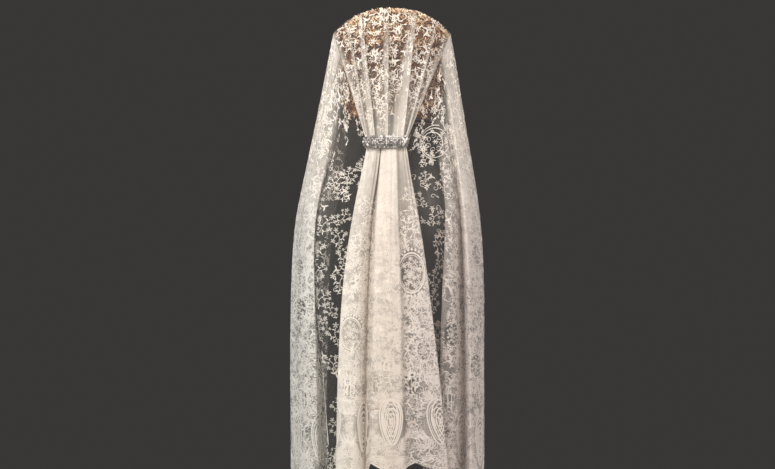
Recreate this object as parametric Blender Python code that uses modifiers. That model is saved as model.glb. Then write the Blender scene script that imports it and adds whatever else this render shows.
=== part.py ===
# A lace mantilla worn over a high openwork comb and gathered at the nape by a jewelled clasp.
# Frame: metres, +Z up, the wearer faces +Y, so the back of the mantilla faces -Y.
# The origin is where the teeth of the comb enter the hair.

import math
from collections import namedtuple

import bpy
import numpy as np
from mathutils import Matrix

MM = 0.001

# Cloth
CLOTH_WALL = 0.0012
SEAM_GAP = 0.0006
SCALLOP_WIDTH = 0.096
SCALLOP_DEPTH = 0.020

# Comb
COMB_WALL = 0.003
COMB_RADIUS = 0.172
COMB_LEAN = math.tan(math.radians(8))
COMB_HALF_BASE = 0.100
COMB_HALF_TOP = 0.132
COMB_CORNER_HEIGHT = 0.208
COMB_CREST_HEIGHT = 0.2665
CREST_POWER = 2.6
COMB_BAND = 0.014
COMB_COLUMNS = 9
COMB_TIERS = 5
HOLE_SHARE = 0.66
HOLE_CORNER_SHARE = 0.74
TOOTH_LENGTH = 0.070
TOOTH_MIDDLE_SHARE = 0.8
TOOTH_TIP_SHARE = 0.35
TEETH = 5

# The cloth's line over the comb
CREST_HALF = 0.139
CREST_RADIUS = 0.190
CREST_CORNER_HEIGHT = 0.222
CREST_MIDDLE_HEIGHT = 0.2727

# Clasp
CLASP_LEFT = -0.0515
CLASP_RIGHT = 0.0213
CLASP_CENTRE_Z = -0.0405
CLASP_HEIGHT = 0.0295
CLASP_DEPTH = 0.006
CLASP_BACK_Y = -0.0535
CLASP_END_RADIUS = 0.0138
CLASP_END_LOBES = 4
CLASP_END_SWELL = 0.16
CLASP_END_SPREAD = 0.545
CLASP_END_POINTS = 24
CLASP_ROUNDING = 0.002

# Seam lines of the cloth, in millimetres
CREST_SEAM = 2.2
CREST_SEAM_DROP = 0.3
SHOULDER_SEAM = 1.2
SIDE_SEAM_OUT = 1.1
SIDE_SEAM_DROP = 0.5
GATHER_Y = -46
GATHER_CURVE = 4
FAN_FOOT_Z = -43.0
FAN_FOOT = {"left": (-58, -42, FAN_FOOT_Z), "right": (31, -42, FAN_FOOT_Z)}
TEMPLE = {"left": (-104, 132, 30), "right": (104, 132, 30)}
# The turned-under edge beside the tail starts this far in front of the clasp's foot, and runs this far
# across and forwards for each whole of rise.
TURN_START = 8
TURN_ACROSS = 90
TURN_FORWARD = 20

# Heights of the rows of fold positions below the clasp
LEVELS = (-110, -220, -380, -560)
TAIL_HEM = -812
TAIL_HEM_PHASE = 0.28

# Pleats of the fan: place across the clasp, place across the crest, height towards the back.
# A pleat with two turns has a sharp edge, one with a single turn is soft.
Pleat = namedtuple("Pleat", "name turns clasp_x crest_x height")
FAN = (
    Pleat("left edge", 1, -58, -139, 0),
    Pleat("ridge 1", 1, -51, -116, 10),
    Pleat("valley 1", 1, -47, -97, -7),
    Pleat("ridge 2", 2, -42, -88, 9),
    Pleat("valley 2", 1, -36, -68, -8),
    Pleat("ridge 3", 2, -32, -60, 9),
    Pleat("valley 3", 1, -25, -38, -9),
    Pleat("ridge 4", 1, -17, -14, 14),
    Pleat("valley 4", 1, -4, 10, -12),
    Pleat("ridge 5", 2, 7, 44, 11),
    Pleat("valley 5", 1, 15, 68, -7),
    Pleat("ridge 6", 1, 21, 92, 10),
    Pleat("valley 6", 1, 26, 114, -4),
    Pleat("right edge", 1, 31, 139, 0),
)

# The fan's line from the crest to the clasp: share of the way down, millimetres wrapped back over the
# comb, and share of the pleat's height.
Row = namedtuple("Row", "down wrap swell")
FAN_LINE = (Row(0, 0, 0), Row(0.03, 6, 0), Row(0.33, 3, 0.6), Row(0.68, 0, 1.0), Row(1, 0, 0.28))

# Folds of the tail: place across at the clasp, at each level and at the hem, and depth behind its face.
Fold = namedtuple("Fold", "name turns xs depth")
TAIL = (
    Fold("seam left", 1, (-46, -48, -58, -72, -80, -84), 34),
    Fold("under left", 1, (-53, -60, -78, -96, -106, -110), 25),
    Fold("edge left", 2, (-58, -71, -95, -117, -127, -131), 9),
    Fold("left panel", 1, (-44, -52, -72, -88, -95, -97), -8),
    Fold("recess", 2, (-27, -31, -47, -54, -58, -59), 30),
    Fold("centre edge", 2, (-21, -26, -35, -40, -45, -50), -4),
    Fold("centre ridge", 1, (-8, -8, -9, -10, -12, -8), -20),
    Fold("soft valley", 1, (8, 11, 14, 17, 24, 38), 6),
    Fold("right panel", 1, (20, 27, 41, 52, 64, 82), -9),
    Fold("edge right", 2, (33, 41, 64, 87, 108, 131), 5),
    Fold("under right", 1, (29, 30, 47, 66, 87, 110), 23),
    Fold("seam right", 1, (22, 18, 27, 42, 61, 84), 34),
)
TAIL_FACE_Y = (-46, -60, -84, -97, -102, -104)
TAIL_FOLD_GROWTH = (0.25, 0.5, 0.8, 1.0, 1.0, 1.0)

# Folds of the side and front falls. Rise is the place along the top seam: 0 at the clasp, 1 at the
# corner of the comb, 2 at the temple. Then the place across and the depth at each level and at the hem.
Hang = namedtuple("Hang", "name turns rise xs ys hem")
SIDE_LEFT = (
    Hang("turn", 2, -0.20, (-40, -48, -61, -69, -73), (-31, -46, -55, -60, -62), -812),
    Hang("panel inner", 1, -0.05, (-62, -78, -92, -98, -102), (-20, -36, -42, -44, -46), -820),
    Hang("panel", 1, 0.15, (-104, -132, -140, -132, -126), (-22, -42, -50, -54, -56), -832),
    Hang("panel edge", 2, 0.34, (-142, -178, -181, -158, -144), (-14, -40, -50, -56, -58), -842),
    Hang("valley", 2, 0.50, (-152, -190, -190, -168, -156), (0, -6, -6, -6, -6), -846),
    Hang("crease", 2, 0.66, (-158, -182, -180, -174, -169), (-12, -50, -64, -68, -68), -850),
    Hang("strip", 1, 0.84, (-184, -212, -216, -214, -212), (2, -38, -50, -52, -52), -858),
)
OUTLINE_LEFT = Hang("outline", 1, 1.0, (-204, -231, -240, -240, -239), (42, 46, 34, 28, 26), -866)
FRONT_LEFT = (
    Hang("arm", 1, 1.18, (-208, -231, -236, -235, -233), (84, 92, 84, 78, 76), -864),
    Hang("ridge 1", 1, 1.36, (-188, -216, -224, -226, -226), (122, 132, 132, 130, 128), -856),
    Hang("valley 1", 1, 1.52, (-170, -196, -200, -202, -203), (120, 124, 110, 104, 100), -846),
    Hang("ridge 2", 2, 1.68, (-154, -182, -188, -190, -191), (146, 162, 162, 158, 156), -834),
    Hang("valley 2", 1, 1.84, (-136, -164, -170, -172, -173), (136, 144, 132, 126, 124), -820),
    Hang("front edge", 1, 2.0, (-116, -146, -154, -157, -160), (150, 170, 166, 160, 156), -800),
)
SIDE_RIGHT = (
    Hang("turn", 2, -0.20, (10, 16, 31, 50, 73), (-31, -46, -55, -60, -62), -812),
    Hang("panel inner", 1, -0.05, (38, 50, 64, 80, 98), (-20, -36, -42, -44, -46), -820),
    Hang("panel", 1, 0.16, (78, 96, 102, 104, 112), (-22, -42, -44, -46, -46), -830),
    Hang("valley", 2, 0.34, (118, 134, 126, 124, 126), (-4, -14, -6, -4, -4), -840),
    Hang("strip edge", 2, 0.48, (121, 124, 115, 109, 107), (-22, -56, -64, -66, -66), -845),
    Hang("strip", 1, 0.62, (138, 143, 140, 139, 138), (-22, -68, -78, -80, -80), -850),
    Hang("groove", 2, 0.74, (152, 161, 168, 171, 172), (0, -14, -12, -10, -10), -854),
    Hang("outer edge", 2, 0.84, (160, 170, 177, 180, 181), (-6, -52, -60, -62, -62), -858),
    Hang("outer strip", 1, 0.92, (178, 198, 204, 206, 206), (14, -28, -36, -38, -38), -862),
)
OUTLINE_RIGHT = Hang("outline", 1, 1.0, (194, 212, 219, 219, 218), (42, 46, 34, 28, 26), -866)
FRONT_RIGHT = (
    Hang("arm", 1, 1.18, (197, 212, 216, 215, 213), (84, 92, 84, 78, 76), -864),
    Hang("ridge 1", 1, 1.36, (178, 200, 206, 207, 207), (122, 132, 132, 130, 128), -856),
    Hang("valley 1", 1, 1.52, (163, 182, 184, 185, 186), (120, 124, 110, 104, 100), -846),
    Hang("ridge 2", 2, 1.68, (149, 170, 173, 174, 175), (146, 162, 162, 158, 156), -834),
    Hang("valley 2", 1, 1.84, (133, 154, 156, 157, 158), (136, 144, 132, 126, 124), -820),
    Hang("front edge", 1, 2.0, (115, 138, 142, 144, 146), (150, 170, 166, 160, 156), -800),
)

# Folds of the crown: place across the crest, then the point of the front edge, and height of the fold.
Gather = namedtuple("Gather", "name crest_x edge lift")
CROWN = (
    Gather("side left", -139, TEMPLE["left"], 0),
    Gather("fold 1", -104, (-92, 146, 54), 12),
    Gather("dip 1", -70, (-72, 156, 66), -8),
    Gather("fold 2", -34, (-40, 166, 78), 10),
    Gather("centre", 0, (0, 170, 82), -6),
    Gather("fold 3", 34, (40, 166, 78), 10),
    Gather("dip 2", 70, (72, 156, 66), -8),
    Gather("fold 4", 104, (92, 146, 54), 12),
    Gather("side right", 139, TEMPLE["right"], 0),
)
CROWN_SHARES = (0.0, 0.06, 0.36, 0.70, 1.0)
CROWN_SAG = (0.0, 0.0, 16.0, 12.0, 0.0)
CROWN_RISE = (0.0, 8.0, 6.0, 0.0, 0.0)

# Samples along and across each stretch
FAN_GRID = (9, 43)
TAIL_GRID = (14, 45)
SIDE_GRID = (14, 36)
FRONT_GRID = (14, 20)
CROWN_GRID = (8, 25)

COLOURS = {
    "lace": ((0.80, 0.74, 0.66, 1), 0.85, 0.0),
    "tortoiseshell": ((0.28, 0.12, 0.04, 1), 0.25, 0.0),
    "rhinestone": ((0.55, 0.54, 0.55, 1), 0.2, 0.9),
}


def clear_scene():
    for thing in list(bpy.data.objects):
        bpy.data.objects.remove(thing)


def material(name):
    colour, roughness, metallic = COLOURS[name]
    made = bpy.data.materials.get(name) or bpy.data.materials.new(name)
    made.use_nodes = True
    shader = made.node_tree.nodes["Principled BSDF"]
    shader.inputs["Base Color"].default_value = colour
    shader.inputs["Roughness"].default_value = roughness
    shader.inputs["Metallic"].default_value = metallic
    return made


def spline_weights(rows, samples):
    # Weights of a uniform cubic B-spline that starts and ends on its first and last control row.
    place = np.linspace(0, rows - 1, samples)
    first = np.minimum(place.astype(int), rows - 2)
    f = place - first
    pieces = ((1 - f) ** 3, 4 - 6 * f**2 + 3 * f**3, 1 + 3 * f + 3 * f**2 - 3 * f**3, f**3)
    weights = np.zeros((samples, rows + 2))
    for step, piece in enumerate(pieces):
        weights[np.arange(samples), first + step] += piece / 6
    weights[:, 1] += 2 * weights[:, 0]
    weights[:, 2] -= weights[:, 0]
    weights[:, -2] += 2 * weights[:, -1]
    weights[:, -3] -= weights[:, -1]
    return weights[:, 1:-1]


def loft(folds, grid):
    # The smooth sheet through a net of control points: folds across, levels down, millimetres in.
    net = np.array(folds, float).transpose(1, 0, 2)
    down = spline_weights(net.shape[0], grid[0])
    across = spline_weights(net.shape[1], grid[1])
    return np.einsum("dl,lfk,af->dak", down, net, across) * MM


def repeated(rows, points):
    return [point for row, point in zip(rows, points) for _ in range(row.turns)]


def crest_point(x):
    # The cloth's line over the top edge of the comb.
    share = abs(x * MM) / CREST_HALF
    rise = (CREST_MIDDLE_HEIGHT - CREST_CORNER_HEIGHT) * (1 - min(share, 1) ** CREST_POWER)
    z = CREST_CORNER_HEIGHT + rise
    y = CREST_RADIUS - math.sqrt(CREST_RADIUS**2 - (x * MM) ** 2) - z * COMB_LEAN
    return np.array((x, y / MM, z / MM))


def scalloped(points, phase=0):
    # The hem row rises between scallops of one width, measured along the hem. Phase is a share of a scallop.
    steps = np.linalg.norm(np.diff(points[-1], axis=0), axis=1)
    along = np.concatenate(([0], np.cumsum(steps)))
    count = max(1, round(along[-1] / SCALLOP_WIDTH))
    wave = np.abs(np.sin(math.pi * (count * along / along[-1] + phase)))
    back = points[-2] - points[-1]
    points[-1] += back * (SCALLOP_DEPTH * (1 - wave) / np.linalg.norm(back, axis=1))[:, None]
    return points


def sheet(name, points, home):
    # A grid of points as an open surface of triangles, with the cloth's wall by Solidify.
    rows, columns = points.shape[:2]
    corner = (np.arange(rows - 1)[:, None] * columns + np.arange(columns - 1)).ravel()
    one = np.stack([corner, corner + columns, corner + columns + 1], axis=1)
    two = np.stack([corner, corner + columns + 1, corner + 1], axis=1)
    faces = np.concatenate([one, two]).tolist()
    return shell(name, points.reshape(-1, 3).tolist(), faces, CLOTH_WALL, "lace", home)


def shell(name, points, faces, wall, finish, home):
    mesh = bpy.data.meshes.new(name)
    mesh.from_pydata(points, [], faces)
    mesh.materials.append(material(finish))
    thing = bpy.data.objects.new(name, mesh)
    cut = thing.modifiers.new("split", "TRIANGULATE")
    cut.keep_custom_normals = False
    thickness = thing.modifiers.new("wall", "SOLIDIFY")
    thickness.thickness = wall
    thickness.offset = 0
    home.objects.link(thing)
    return thing


def lace_fan(home):
    middle = (FAN[0].clasp_x + FAN[-1].clasp_x) / 2
    half = (FAN[-1].clasp_x - FAN[0].clasp_x) / 2
    folds = []
    for pleat in FAN:
        top = crest_point(pleat.crest_x)
        gather = GATHER_Y + GATHER_CURVE * ((pleat.clasp_x - middle) / half) ** 2
        foot = np.array((pleat.clasp_x, gather, FAN_FOOT_Z))
        # The wrap over the comb fades out at the comb's corners.
        bend = 1 - (abs(pleat.crest_x * MM) / CREST_HALF) ** 6
        line = []
        for row in FAN_LINE:
            point = top * (1 - row.down) + foot * row.down
            point[1] -= row.wrap * bend + row.swell * pleat.height
            line.append(point)
        folds.append(line)
    sheet("lace_fan", loft(repeated(FAN, folds), FAN_GRID), home)


def tail_column(fold):
    levels = (FAN_FOOT_Z - SEAM_GAP / MM, *LEVELS, TAIL_HEM)
    return [
        (x, face + fold.depth * growth, z)
        for x, face, growth, z in zip(fold.xs, TAIL_FACE_Y, TAIL_FOLD_GROWTH, levels)
    ]


def lace_tail(home):
    folds = [tail_column(fold) for fold in TAIL]
    sheet("lace_tail", scalloped(loft(repeated(TAIL, folds), TAIL_GRID), TAIL_HEM_PHASE), home)


def top_seam(side, rise):
    # The seam under the fan and the crown: from the clasp to the comb's corner, then to the temple.
    sign = -1 if side == "left" else 1
    corner = crest_point(sign * CREST_HALF / MM)
    foot = np.array(FAN_FOOT[side], float)
    if rise < 0:
        # Short of the clasp, the cloth is turned under the gathers.
        return foot + np.array((sign * TURN_ACROSS * rise, TURN_START - TURN_FORWARD * rise, 0))
    if rise <= 1:
        point = foot + (corner - foot) * rise
    else:
        point = corner + (np.array(TEMPLE[side]) - corner) * (rise - 1)
    return point + np.array((sign * SIDE_SEAM_OUT, 0, -SIDE_SEAM_DROP))


def hang_column(side, hang, shift=(0, 0, 0)):
    column = [tuple(top_seam(side, hang.rise) + shift)]
    for x, y, z in zip(hang.xs, hang.ys, (*LEVELS, hang.hem)):
        column.append((x + shift[0], y + shift[1], z))
    return column


def falls(home):
    gap = SEAM_GAP / MM
    sets = (
        ("left", TAIL[0], SIDE_LEFT, OUTLINE_LEFT, FRONT_LEFT),
        ("right", TAIL[-1], SIDE_RIGHT, OUTLINE_RIGHT, FRONT_RIGHT),
    )
    for side, seam, hangs, outline, fronts in sets:
        sign = -1 if side == "left" else 1
        # The fall starts beside the tail's turned-under edge, a seam's gap further in.
        start = [(x - sign * gap, y, z) for x, y, z in tail_column(seam)]
        columns = [hang_column(side, hang) for hang in hangs]
        back = [start, *repeated(hangs, columns), hang_column(side, outline)]
        sheet(f"lace_side_{side}", scalloped(loft(back, SIDE_GRID)), home)
        forward = [hang_column(side, hang) for hang in fronts]
        front = [hang_column(side, outline, (0, SHOULDER_SEAM, 0)), *repeated(fronts, forward)]
        sheet(f"lace_front_{side}", scalloped(loft(front, FRONT_GRID)), home)


def lace_crown(home):
    folds = []
    for gather in CROWN:
        top = crest_point(gather.crest_x) + np.array((0, CREST_SEAM, -CREST_SEAM_DROP))
        edge = np.array(gather.edge, float)
        side = 1 if gather.lift else 0
        line = []
        for share, sag, rise in zip(CROWN_SHARES, CROWN_SAG, CROWN_RISE):
            point = top * (1 - share) + edge * share
            point[2] += side * (gather.lift * math.sin(math.pi * share) + rise - sag)
            line.append(point)
        folds.append(line)
    sheet("lace_crown", loft(folds, CROWN_GRID), home)


def comb_point(across, up):
    # A place on the comb's middle surface: across from -1 to 1, up from 0 at the seat to 1 at the crest.
    top = COMB_CORNER_HEIGHT + (COMB_CREST_HEIGHT - COMB_CORNER_HEIGHT) * (
        1 - np.abs(across) ** CREST_POWER
    )
    z = up * top
    widen = 1 - (1 - np.clip(z / COMB_CORNER_HEIGHT, 0, 1)) ** 2
    x = across * (COMB_HALF_BASE + (COMB_HALF_TOP - COMB_HALF_BASE) * widen)
    y = COMB_RADIUS - np.sqrt(COMB_RADIUS**2 - x**2) - z * COMB_LEAN
    return np.stack([x, y, z], axis=-1)


def high_comb(home):
    # An open lattice of cells, each a ring of eight quads round its own hole, over a solid band with teeth.
    stops = np.linspace(-1, 1, 2 * COMB_COLUMNS + 1)
    low = COMB_BAND / COMB_CREST_HEIGHT
    ups = np.concatenate(([0], np.linspace(low, 1, 2 * COMB_TIERS + 1)))
    points = []
    faces = []
    index = {}

    def vertex(key, place):
        if key not in index:
            index[key] = len(points)
            points.append(tuple(map(float, place)))
        return index[key]

    def lattice(column, row):
        return vertex((column, row), comb_point(stops[column], ups[row]))

    ring = ((0, 0), (1, 0), (2, 0), (2, 1), (2, 2), (1, 2), (0, 2), (0, 1))
    for column in range(0, 2 * COMB_COLUMNS, 2):
        for row in range(1, 2 * COMB_TIERS, 2):
            middle = (stops[column + 1], ups[row + 1])
            half = (stops[column + 1] - stops[column], ups[row + 1] - ups[row])
            outer = [lattice(column + c, row + r) for c, r in ring]
            inner = []
            for turn, (c, r) in enumerate(ring):
                share = HOLE_SHARE * (HOLE_CORNER_SHARE if turn % 2 == 0 else 1)
                place = comb_point(middle[0] + (c - 1) * half[0] * share, middle[1] + (r - 1) * half[1] * share)
                inner.append(vertex((column, row, turn), place))
            for turn in range(8):
                after = (turn + 1) % 8
                faces.append((outer[turn], outer[after], inner[after], inner[turn]))
    for column in range(2 * COMB_COLUMNS):
        faces.append((lattice(column, 0), lattice(column + 1, 0), lattice(column + 1, 1), lattice(column, 1)))
    first = COMB_COLUMNS - TEETH + 1
    for tooth in range(TEETH):
        column = first + 2 * tooth
        upper = [lattice(column, 0), lattice(column + 1, 0)]
        root = [np.array(points[corner]) for corner in upper]
        middle = (root[0] + root[1]) / 2
        for level, share in ((0.5, TOOTH_MIDDLE_SHARE), (1.0, TOOTH_TIP_SHARE)):
            drop = np.array((0, 0, -TOOTH_LENGTH * level))
            lower = [vertex((column, level, end), middle + (root[end] - middle) * share + drop) for end in (0, 1)]
            faces.append((lower[0], lower[1], upper[1], upper[0]))
            upper = lower
    shell("high_comb", points, faces, COMB_WALL, "tortoiseshell", home)


def move_home(thing, home):
    for group in list(thing.users_collection):
        group.objects.unlink(thing)
    home.objects.link(thing)


def clasp_bars(home):
    centre = (CLASP_LEFT + CLASP_RIGHT) / 2
    halves = (("left", CLASP_LEFT, centre - SEAM_GAP / 2), ("right", centre + SEAM_GAP / 2, CLASP_RIGHT))
    for side, start, stop in halves:
        bpy.ops.mesh.primitive_cube_add(size=1)
        bar = bpy.context.active_object
        bar.name = f"clasp_bar_{side}"
        bar.data.materials.append(material("rhinestone"))
        bar.data.transform(Matrix.Diagonal((stop - start, CLASP_DEPTH, CLASP_HEIGHT, 1)))
        bar.location = ((start + stop) / 2, CLASP_BACK_Y - CLASP_DEPTH / 2, CLASP_CENTRE_Z)
        edge = bar.modifiers.new("rounded", "BEVEL")
        edge.width = CLASP_ROUNDING
        edge.segments = 2
        move_home(bar, home)


def clasp_ends(home):
    # A lobed ornament closes each end of the bar: a flat outline whose radius swells once for each lobe.
    reach = CLASP_END_SPREAD * CLASP_END_RADIUS * (1 + CLASP_END_SWELL) + SEAM_GAP
    for side, x in (("left", CLASP_LEFT - reach), ("right", CLASP_RIGHT + reach)):
        outline = bpy.data.curves.new(f"clasp_end_{side}", "CURVE")
        outline.dimensions = "2D"
        outline.fill_mode = "BOTH"
        outline.extrude = CLASP_DEPTH / 2
        spline = outline.splines.new("POLY")
        spline.points.add(CLASP_END_POINTS - 1)
        spline.use_cyclic_u = True
        for n, point in enumerate(spline.points):
            turn = 2 * math.pi * n / CLASP_END_POINTS
            radius = CLASP_END_RADIUS * (1 + CLASP_END_SWELL * math.cos(CLASP_END_LOBES * turn))
            point.co = (CLASP_END_SPREAD * radius * math.cos(turn), radius * math.sin(turn), 0, 1)
        outline.materials.append(material("rhinestone"))
        ornament = bpy.data.objects.new(f"clasp_end_{side}", outline)
        ornament.rotation_euler = (math.pi / 2, 0, 0)
        ornament.location = (x, CLASP_BACK_Y - CLASP_DEPTH / 2, CLASP_CENTRE_Z)
        home.objects.link(ornament)


def main():
    clear_scene()
    home = bpy.data.collections.new("mantilla_on_a_high_comb")
    bpy.context.scene.collection.children.link(home)
    high_comb(home)
    lace_crown(home)
    lace_fan(home)
    lace_tail(home)
    falls(home)
    clasp_bars(home)
    clasp_ends(home)


main()
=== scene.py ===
# Lace mantilla on a high comb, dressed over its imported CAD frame.
# Metres, Z up; the mantilla's open front faces +Y and its back -Y.
import math
from collections import namedtuple

import bpy
import numpy as np
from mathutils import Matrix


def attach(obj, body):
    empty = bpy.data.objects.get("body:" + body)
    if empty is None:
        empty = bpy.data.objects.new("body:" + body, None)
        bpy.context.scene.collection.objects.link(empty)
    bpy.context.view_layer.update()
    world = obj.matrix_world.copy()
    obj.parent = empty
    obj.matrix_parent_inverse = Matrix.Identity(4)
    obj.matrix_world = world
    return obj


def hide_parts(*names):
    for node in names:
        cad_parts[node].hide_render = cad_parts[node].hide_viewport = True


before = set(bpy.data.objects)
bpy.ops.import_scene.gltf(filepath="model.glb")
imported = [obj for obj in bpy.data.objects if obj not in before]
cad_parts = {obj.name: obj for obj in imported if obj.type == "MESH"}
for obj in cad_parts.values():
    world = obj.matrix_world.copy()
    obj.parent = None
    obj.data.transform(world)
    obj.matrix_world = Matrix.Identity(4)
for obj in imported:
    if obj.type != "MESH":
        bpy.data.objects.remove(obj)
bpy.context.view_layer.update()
mm = 0.001
rng = np.random.default_rng(7)
goldenAngle, goldenShare = 2.39996, 0.618034

# One cloth, hung in five stretches. u runs across a stretch and v down it, both along the cloth.
cut = {
    "stepAcross": 0.0034, "stepDown": 0.0066,   # net grid
    "scallopWidth": 0.096, "scallopDepth": 0.020,
    "hemPull": 0.07,                            # the rows this near the end are pulled to the scallops
    "cordLift": 0.0008, "cordEdge": 0.0002,     # how far a cord's middle and edges stand off the net
    "flatLift": 0.0005, "cordFrom": 0.00125,    # how far a flat thread does, and the half width of a cord
    "margin": 0.0015, "hemMargin": 0.0004,      # threads stay this far inside the cloth's edges
    "roundWide": 0.036, "roundTall": 0.052,     # half sizes of the plain oval behind a medallion
    "roundThin": 0.22,                          # how much less full the cloth is inside it
    "squashNear": 8, "squashMost": 8.0,         # neighbours the squash is averaged over, and its limit
    "crowded": 3.2, "edgeOn": 0.5, "plainDown": 0.3, "plainWide": 0.15,   # where small motifs are left out
}
comb = {
    "radius": 0.172, "lean": math.tan(math.radians(8)), "halfBase": 0.100, "halfTop": 0.1355,
    "corner": 0.2165, "crest": 0.2705, "power": 2.6, "wall": 0.0030, "leaves": 2700, "rimLeaves": 170,
    # crestLight is painted light: it raises the shade value of leaves near the crest, so they come out
    # lighter
    "crestLight": 0.30, "lowShade": -0.10, "barShade": -0.2,   # shades of the crest, the rest and long bars
    "ownShade": (5, 17),   # numbers of points of the leaves and scrolls, which have a shade each
}
crest = {"half": 0.139, "radius": 0.190, "corner": 0.222, "middle": 0.2727}
foot = {"middle": -13.5, "half": 44.5, "y": -46, "bow": 4, "z": -43}    # the fan's line at the clasp
fanFoot = {"left": (-58, -42, -43), "right": (31, -42, -43)}
temple = {"left": (-104, 132, 30), "right": (104, 132, 30)}
levels = (-110, -220, -380, -560)

# Pleats of the fan, in order across: place at the clasp and at the crest, height, turns, hidden layers.
# Where the places step back, the cloth doubles under itself and three layers show.
pleat = namedtuple("pleat", "claspX crestX height turns full")
fanPleats = (
    pleat(-58, -139, 0, 1, 0.5), pleat(-57, -130, 5, 1, 0.4), pleat(-57, -121, -5, 1, 0.04),
    pleat(-54, -100, 10, 2, 0.34), pleat(-57, -112, 3, 2, 0.2), pleat(-50, -92, -6, 1, 0.04),
    pleat(-36, -70, 11, 2, 0.4), pleat(-48, -84, 2, 2, 0.22), pleat(-33, -63, -7, 1, 0.06),
    pleat(-28, -42, -9, 1, 0.0), pleat(-23, -30, -4, 1, 0.05),
    pleat(-8, -6, 14, 2, 0.36), pleat(-20, -20, 4, 2, 0.2), pleat(-6, 3, -9, 1, 0.02),
    pleat(2, 26, -6, 1, 0.03),
    pleat(27, 60, 13, 2, 0.5), pleat(8, 40, 3, 2, 0.25), pleat(27, 68, -7, 1, 0.0),
    pleat(28, 88, -5, 1, 0.0),
    pleat(31, 110, 10, 2, 0.42), pleat(29, 103, 3, 2, 0.25), pleat(30, 117, -4, 1, 0.05),
    pleat(31, 128, 3, 1, 0.35), pleat(31, 139, 0, 1, 0.5),
)
fanLine = ((0, 0, 0), (0.03, 6, 0), (0.33, 3, 0.6), (0.68, 0, 1.0), (1, 0, 0.28))   # down, wrap, swell
fanFull = ((1.7, -0.75), (1.7, -0.6), (1.4, -0.12), (1, 0.2), (1, 0.6))   # times a pleat's layers, plus

# Folds of the tail: places across at the clasp, the levels and the hem, depth, turns, hidden layers.
fold = namedtuple("fold", "xs depth turns full")
tailFolds = (
    fold((-46, -48, -58, -72, -80, -84), 34, 1, 0.6), fold((-53, -60, -78, -96, -106, -110), 25, 1, 0.6),
    fold((-58, -71, -95, -117, -127, -131), 9, 2, 0.85), fold((-46, -55, -76, -92, -100, -103), -8, 1, 0.62),
    fold((-31, -38, -57, -66, -72, -74), -4, 1, 0.66), fold((-26, -30, -48, -56, -61, -62), 26, 2, 0.45),
    fold((-21, -26, -35, -40, -45, -50), -6, 2, 0.95),
    fold((-8, -8, -9, -10, -12, -8), -20, 1, 0.88), fold((6, 9, 13, 18, 21, 28), -15, 2, 0.82),
    fold((11, 14, 19, 25, 29, 37), 3, 1, 0.42), fold((20, 27, 41, 52, 64, 82), -7, 1, 0.36),
    fold((33, 41, 64, 87, 108, 131), 5, 2, 0.62),
    fold((29, 30, 47, 66, 87, 110), 23, 1, 0.5), fold((22, 18, 27, 42, 61, 84), 34, 1, 0.5),
)
tailFace = (-46, -60, -84, -97, -102, -104)
tailGrowth = (0.25, 0.5, 0.8, 1.0, 1.0, 1.0)
tailHem, tailNotches = -797, (-48, 52)
tailLeft = {"edge": -60, "drop": 26, "full": 0.04, "fullLow": 0.14, "fullElsewhere": -0.10}   # left panel

# Hanging folds: place along the top seam (0 clasp, 1 comb corner, 2 temple), across and depth at each
# level and the hem, height of the hem, turns, hidden layers at the top and low down.
hang = namedtuple("hang", "rise xs ys hem turns fullTop fullLow")
hangs = {
    "left": (
        # this fold and the next lie behind the tail: few hidden layers low down make them sheerer, and darker
        # as painted shade under its hem
        hang(-0.20, (-40, -48, -61, -69, -73), (-31, -46, -55, -60, -62), -812, 2, 0.4, 0.15),
        hang(-0.05, (-62, -78, -92, -98, -102), (-20, -36, -42, -44, -46), -820, 1, -0.1, -0.3),
        hang(0.15, (-104, -132, -140, -132, -126), (-22, -42, -50, -54, -56), -832, 1, -0.1, -0.4),
        hang(0.34, (-142, -178, -181, -158, -144), (-14, -40, -50, -56, -58), -842, 2, 0.1, -0.1),
        hang(0.50, (-152, -190, -190, -168, -156), (0, -6, -6, -6, -6), -846, 2, 0.3, -0.4),
        hang(0.66, (-158, -182, -180, -174, -169), (-12, -50, -64, -68, -68), -850, 2, 0.72, 0.42),
        hang(0.84, (-184, -212, -216, -214, -212), (2, -38, -50, -52, -52), -858, 1, 0.70, 0.24),
        hang(1.00, (-204, -231, -240, -240, -239), (42, 46, 34, 28, 26), -866, 2, 0.62, 0.34),
    ),
    "right": (
        # this fold and the next lie behind the tail: few hidden layers low down make them sheerer, and darker
        # as painted shade under its hem
        hang(-0.20, (10, 16, 31, 50, 73), (-31, -46, -55, -60, -62), -812, 2, 0.4, 0.15),
        hang(-0.05, (38, 50, 64, 80, 98), (-20, -36, -42, -44, -46), -820, 1, 0.1, -0.2),
        hang(0.16, (78, 96, 102, 104, 112), (-22, -42, -44, -46, -46), -830, 1, 0.1, -0.2),
        hang(0.34, (118, 134, 126, 124, 126), (-4, -14, -6, -4, -4), -840, 2, 0.08, 0.1),
        hang(0.48, (121, 124, 115, 109, 107), (-22, -56, -64, -66, -66), -845, 2, 0.4, 0.45),
        hang(0.62, (138, 143, 140, 139, 138), (-22, -68, -78, -80, -80), -850, 1, 0.45, 0.3),
        hang(0.74, (152, 161, 168, 171, 172), (0, -14, -12, -10, -10), -854, 2, 0.5, 0.4),
        hang(0.84, (160, 170, 177, 180, 181), (-6, -52, -60, -62, -62), -858, 2, 0.85, 0.5),
        hang(0.92, (178, 198, 204, 206, 206), (14, -28, -36, -38, -38), -862, 1, 0.85, 0.42),
        hang(1.00, (194, 212, 219, 219, 218), (42, 46, 34, 28, 26), -866, 2, 0.45, 0.4),
    ),
}

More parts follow.
